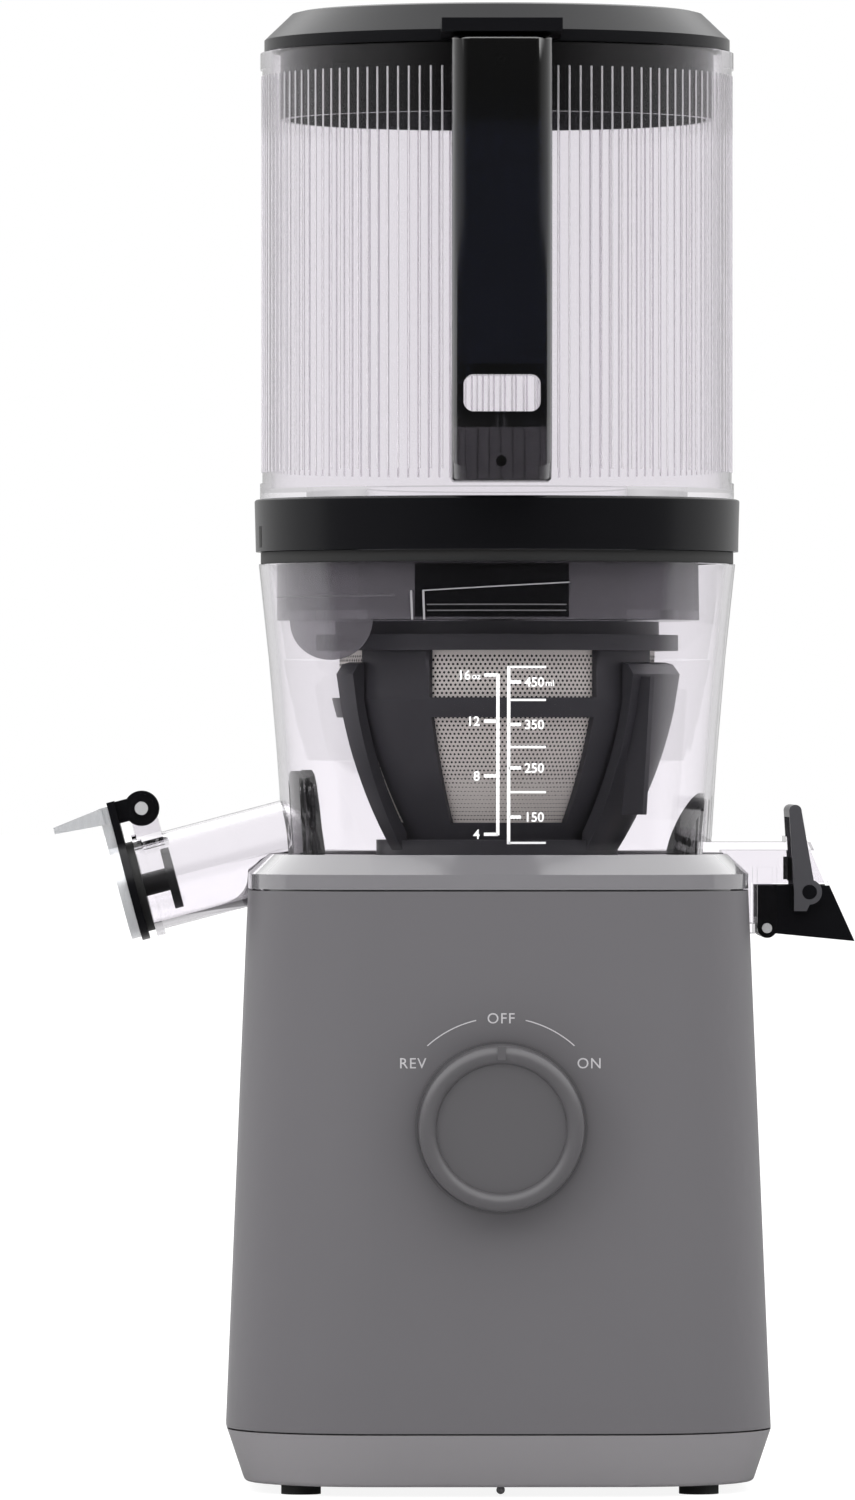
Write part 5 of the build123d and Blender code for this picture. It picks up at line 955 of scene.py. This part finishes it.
class JUICER_OT_knob_marks(bpy.types.Operator):
    """Prints the words and the arcs round the control knob"""

    bl_idname = "juicer.knob_marks"
    bl_label = "Knob marks"

    def execute(self, context):
        marks = context.scene.juicer_marks
        centre = (0.0, knob_centre)
        turn = radians(52.5)
        line_width = 0.32 * MM
        reach = marks.arc_radius + 0.4 * MM
        side_z = knob_centre + reach * cos(turn) - 1 * MM
        flat = [
            flat_arc(marks.arc_radius, line_width, 13, 42, centre),
            flat_arc(marks.arc_radius, line_width, -42, -13, centre),
        ]
        for words, x, z in (
            ("OFF", 0, knob_centre + marks.arc_radius - 0.2 * MM),
            ("ON", reach * sin(turn), side_z),
            ("REV", -reach * sin(turn), side_z),
        ):
            flat.append(flat_text(words, marks.word_height, x, z, spacing=1.12))
        print_on_front("knob_marks", flat, "body_shell", "grey_ink", "base")
        return {"FINISHED"}


class JUICER_OT_bowl(bpy.types.Operator):
    """Finishes the juicing bowl and what is fixed in it"""

    bl_idname = "juicer.bowl"
    bl_label = "Juicing bowl"

    def execute(self, context):
        dress_by_record(
            "juice_bowl", "centre_seal", "chute_gasket", "gate_hinge_pin", "cap_hinge_pin",
            "cap_plate", "cap_cover", "cap_plug", "pulp_gate", "bail_latch",
        )
        dress("bail_latch", "black_satin")
        inner = [(z, front_radius("juice_bowl", z, True)) for z in (190 * MM, 215 * MM)]
        seal_thick = 1.4 * MM
        plate_thick = 0.8 * MM
        # upright ears of the spout's seal, in front of and behind the spout
        ear = (
            (-75, 190, 214),
            (-74.2, 190, 216.8),
            (-72.5, 190, 218),
            (-67, 190, 218),
            (-65, 190, 216.6),
            (-64, 190, 213),
            (-63.2, 190, 207),
            (-62.4, 190, 200),
            (-61.4, 190, 194),
        )
        front_ear = [(angle, bottom * MM, top * MM) for angle, bottom, top in ear]
        rear_ear = [(-180 - angle, bottom, top) for angle, bottom, top in reversed(front_ear)]
        wall_panels("spout_seal", inner, (front_ear, rear_ear), -seal_thick, "silicone_black", "bowl")
        # arched flap over the pulp tunnel, with the lighter spring plate in its foot
        arch = [
            (90 + 29.5 * cos(pi * step / 24), 187 * MM, (187.5 + 23.5 * sin(pi * step / 24)) * MM)
            for step in range(24, -1, -1)
        ]
        wall_panels("pulp_flap", inner, (arch,), -seal_thick, "silicone_black", "bowl")
        deeper = [(z, radius - seal_thick) for z, radius in inner]
        plate = [
            (90 + 12 * cos(pi * step / 12), 187 * MM, (192 + 9.5 * sin(pi * step / 12)) * MM)
            for step in range(12, -1, -1)
        ]
        wall_panels("flap_spring_plate", deeper, (plate,), -plate_thick, "gear_resin", "bowl")
        return {"FINISHED"}


class JUICER_OT_bowl_ribs(bpy.types.Operator):
    """Raises the lock's ramp and ribs inside the bowl's rim, coloured light and dim grey as painted
    highlights
    """

    bl_idname = "juicer.bowl_ribs"
    bl_label = "Lock ribs"

    def execute(self, context):
        rim_low = bowl_top - 20 * MM
        rim_high = bowl_top - 2 * MM
        inner = [(z, front_radius("juice_bowl", z, True)) for z in (rim_low, rim_high)]
        fine = 0.17 * MM
        raised = 0.3 * MM
        rib_ends = ((rim_low + 2.6 * MM,) * 2, (rim_low + 11.4 * MM,) * 2)
        ribs = [strip(-22.7, -22.2, *rib_ends, 2), strip(-19.5, -19.0, *rib_ends, 2)]
        ramp_foot, ramp_head = rim_low + 11.2 * MM, rim_low + 13.7 * MM
        ribs.append(
            strip(-19.4, 17.2, (ramp_foot, ramp_head), (ramp_foot + 2 * fine, ramp_head + 2 * fine))
        )
        # light grey ribs and ramp: painted highlights of the clear ribs, not their own colour
        wall_panels("lock_ribs", inner, ribs, raised, "rib_light", "bowl", rows=2)
        ledges = [
            strip(-18.4, 16.6, (rim_low + rise * MM,) * 2, (rim_low + rise * MM + fine * 2,) * 2)
            for rise in (5.2, 7.0)
        ]
        ledges.append(strip(-72, -27, (rim_low + 9.8 * MM,) * 2, (rim_low + 9.8 * MM + fine,) * 2, 24))
        # dim grey ledges: painted dimmer highlights of the clear ledges, not their own colour
        wall_panels("lock_ledges", inner, ledges, raised, "rib_dim", "bowl", rows=2)
        return {"FINISHED"}


class JUICER_OT_scale(bpy.types.Operator):
    """Prints the measuring scale on the front of the bowl"""

    bl_idname = "juicer.scale"
    bl_label = "Measuring scale"

    def execute(self, context):
        marks = context.scene.juicer_marks
        width = marks.line_width
        bold = marks.digit_height / 40
        left_x = -0.7 * MM
        right_x = 2.55 * MM
        flat = [
            flat_bar(left_x - width / 2, 198.6 * MM, left_x + width / 2, 247.2 * MM),
            flat_bar(right_x - width / 2, 195.9 * MM, right_x + width / 2, 249.6 * MM),
        ]
        for words, height in (("16", 246.9), ("12", 233.0), ("8", 216.5), ("4", 198.9)):
            z = height * MM
            flat.append(flat_bar(-4.9 * MM, z - width / 2, left_x, z + width / 2))
            label_x = -8.9 * MM if words == "16" else -6.1 * MM
            flat.append(flat_text(words, marks.digit_height, label_x, z, "RIGHT", 1.0, bold))
        flat.append(flat_text("oz", 1.9 * MM, -5.9 * MM, 246.6 * MM, "RIGHT", 1.0, bold / 2))
        for height in (249.3, 239.4, 225.2, 211.6, 196.3):
            z = height * MM
            flat.append(flat_bar(right_x, z - width / 3, 13.8 * MM, z + width / 3))
        for words, height in (("450", 244.8), ("350", 232.0), ("250", 218.9), ("150", 204.1)):
            z = height * MM
            flat.append(flat_bar(right_x, z - width / 2, 6.3 * MM, z + width / 2))
            flat.append(flat_text(words, marks.digit_height, 7.3 * MM, z, "LEFT", 1.0, bold))
        flat.append(flat_text("ml", 1.9 * MM, 13.6 * MM, 244.5 * MM, "LEFT", 1.0, bold / 2))
        print_on_front("measuring_scale", flat, "juice_bowl", "white_ink", "bowl")
        return {"FINISHED"}


class JUICER_OT_strainer(bpy.types.Operator):
    """Finishes the strainer and the wiper, and lays dark discs on the strainer's steel as the painted
    shade of its holes
    """

    bl_idname = "juicer.strainer"
    bl_label = "Strainer and wiper"

    def execute(self, context):
        dress_by_record(
            "strainer_frame", "strainer_mesh", "wiper_basket", "wiper_blades", "wiper_pinion",
            "auger", "auger_bush",
        )
        dress("wiper_blades", "black_satin")
        strainer = context.scene.juicer_strainer
        row_pitch = strainer.hole_pitch * sqrt(0.75)
        shoulder = mesh_high - 18.4 * MM
        # the straight top of the mesh, then the curved stretch below it
        stretches = (
            ("strainer_holes_top", shoulder + 0.4 * MM, mesh_high - 5.5 * MM),
            ("strainer_holes_side", shoulder - 38 * MM, shoulder - 0.8 * MM),
        )
        tree = hole_tree()
        proud = 0.04 * MM
        for name, bottom, top in stretches:
            foot_radius = front_radius("strainer_mesh", bottom, False) + proud
            top_radius = front_radius("strainer_mesh", top, False) + proud
            middle_radius = front_radius("strainer_mesh", (bottom + top) / 2, False) + proud
            values = {
                "Columns": int(2 * pi * top_radius / strainer.hole_pitch),
                "Rows": int((top - bottom) / row_pitch) + 1,
                "Low": bottom,
                "High": top,
                "Low Radius": foot_radius,
                "High Radius": top_radius,
                "Bulge": middle_radius - (foot_radius + top_radius) / 2,
                "Hole Radius": strainer.hole_radius,
                # dark discs: painted shade of the holes, which are not cut in the steel
                "Finish": finish("hole_dark"),
            }
            made_by_nodes(name, tree, values, "bowl")
        return {"FINISHED"}


class JUICER_OT_hopper(bpy.types.Operator):
    """Finishes the hopper, its handle and its seal, and raises the flutes"""

    bl_idname = "juicer.hopper"
    bl_label = "Hopper"

    def execute(self, context):
        dress_by_record(
            "hopper_seal", "hopper", "hopper_collar", "feed_plate", "hopper_handle",
            "handle_screws", "lid_hinge_pin",
        )
        dress("hopper_seal", "silicone_black")
        plate_low, plate_high = bowl_top - 16.5 * MM, bowl_top - 0.4 * MM
        skirt = [(z, front_radius("feed_plate", z, False)) for z in (plate_low, plate_high)]
        lock_panel = strip(-22.0, 17.6, (plate_low,) * 2, (plate_high,) * 2, 20)
        wall_panels("lock_panel", skirt, (lock_panel,), 0.3 * MM, "black_gloss", "hopper")
        slot_low = low("hopper_collar").z + 1.2 * MM
        slot_high = slot_low + 6.5 * MM
        rim_wall = [(z, front_radius("hopper_collar", z, False)) for z in (slot_low, slot_high)]
        # the slot is a thin dark panel of painted shade on the collar, which is not cut
        slot = strip(-79.5, -77.0, (slot_low,) * 2, (slot_high,) * 2, 4)
        wall_panels("collar_slot", rim_wall, (slot,), 0.06 * MM, "hole_dark", "hopper", rows=2)
        hopper = context.scene.juicer_hopper
        rim = low("lid").z - 0.5 * MM
        flute_circle = 71.9 * MM
        made_by_nodes(
            "hopper_flutes",
            flute_tree(),
            {
                "Count": hopper.flutes,
                "Radius": flute_circle,
                "Low": hopper_low + hopper.flute_low,
                "High": rim - hopper.flute_high - 1 * MM,
                "Rib Radius": hopper.flute_radius,
                "Finish": finish("flute_clear"),
            },
            "hopper",
        )
        return {"FINISHED"}


class JUICER_OT_lid(bpy.types.Operator):
    """Finishes the lid and its skirt"""

    bl_idname = "juicer.lid"
    bl_label = "Lid"

    def execute(self, context):
        dress_by_record("lid")
        dress("lid_skirt", "skirt_smoke")
        return {"FINISHED"}


# ---------------------------------------------------------------- panel and registration
OPERATORS = (
    JUICER_OT_stage,
    JUICER_OT_housing,
    JUICER_OT_works,
    JUICER_OT_knob_marks,
    JUICER_OT_bowl,
    JUICER_OT_bowl_ribs,
    JUICER_OT_scale,
    JUICER_OT_strainer,
    JUICER_OT_hopper,
    JUICER_OT_lid,
)

SETTINGS = (
    ("juicer_colours", JuicerColours),
    ("juicer_hopper", JuicerHopper),
    ("juicer_marks", JuicerMarks),
    ("juicer_strainer", JuicerStrainer),
    ("juicer_stage", JuicerStage),
)


class JUICER_PT_panel(bpy.types.Panel):
    bl_idname = "JUICER_PT_panel"
    bl_label = "Cold press juicer"
    bl_space_type = "VIEW_3D"
    bl_region_type = "UI"
    bl_category = "Juicer"

    def draw(self, context):
        for name, kind in SETTINGS:
            box = self.layout.box()
            for field in kind.__annotations__:
                box.prop(getattr(context.scene, name), field)
        for operator in OPERATORS:
            self.layout.operator(operator.bl_idname)


def register():
    for name, kind in SETTINGS:
        bpy.utils.register_class(kind)
        setattr(bpy.types.Scene, name, bpy.props.PointerProperty(type=kind))
    for operator in OPERATORS:
        bpy.utils.register_class(operator)
    bpy.utils.register_class(JUICER_PT_panel)


def unregister():
    bpy.utils.unregister_class(JUICER_PT_panel)
    for operator in reversed(OPERATORS):
        bpy.utils.unregister_class(operator)
    for name, kind in reversed(SETTINGS):
        delattr(bpy.types.Scene, name)
        bpy.utils.unregister_class(kind)


def main():
    register()
    bpy.ops.juicer.stage()
    bpy.ops.juicer.housing()
    bpy.ops.juicer.works()
    bpy.ops.juicer.knob_marks()
    bpy.ops.juicer.bowl()
    bpy.ops.juicer.bowl_ribs()
    bpy.ops.juicer.scale()
    bpy.ops.juicer.strainer()
    bpy.ops.juicer.hopper()
    bpy.ops.juicer.lid()


if __name__ == "__main__":
    main()
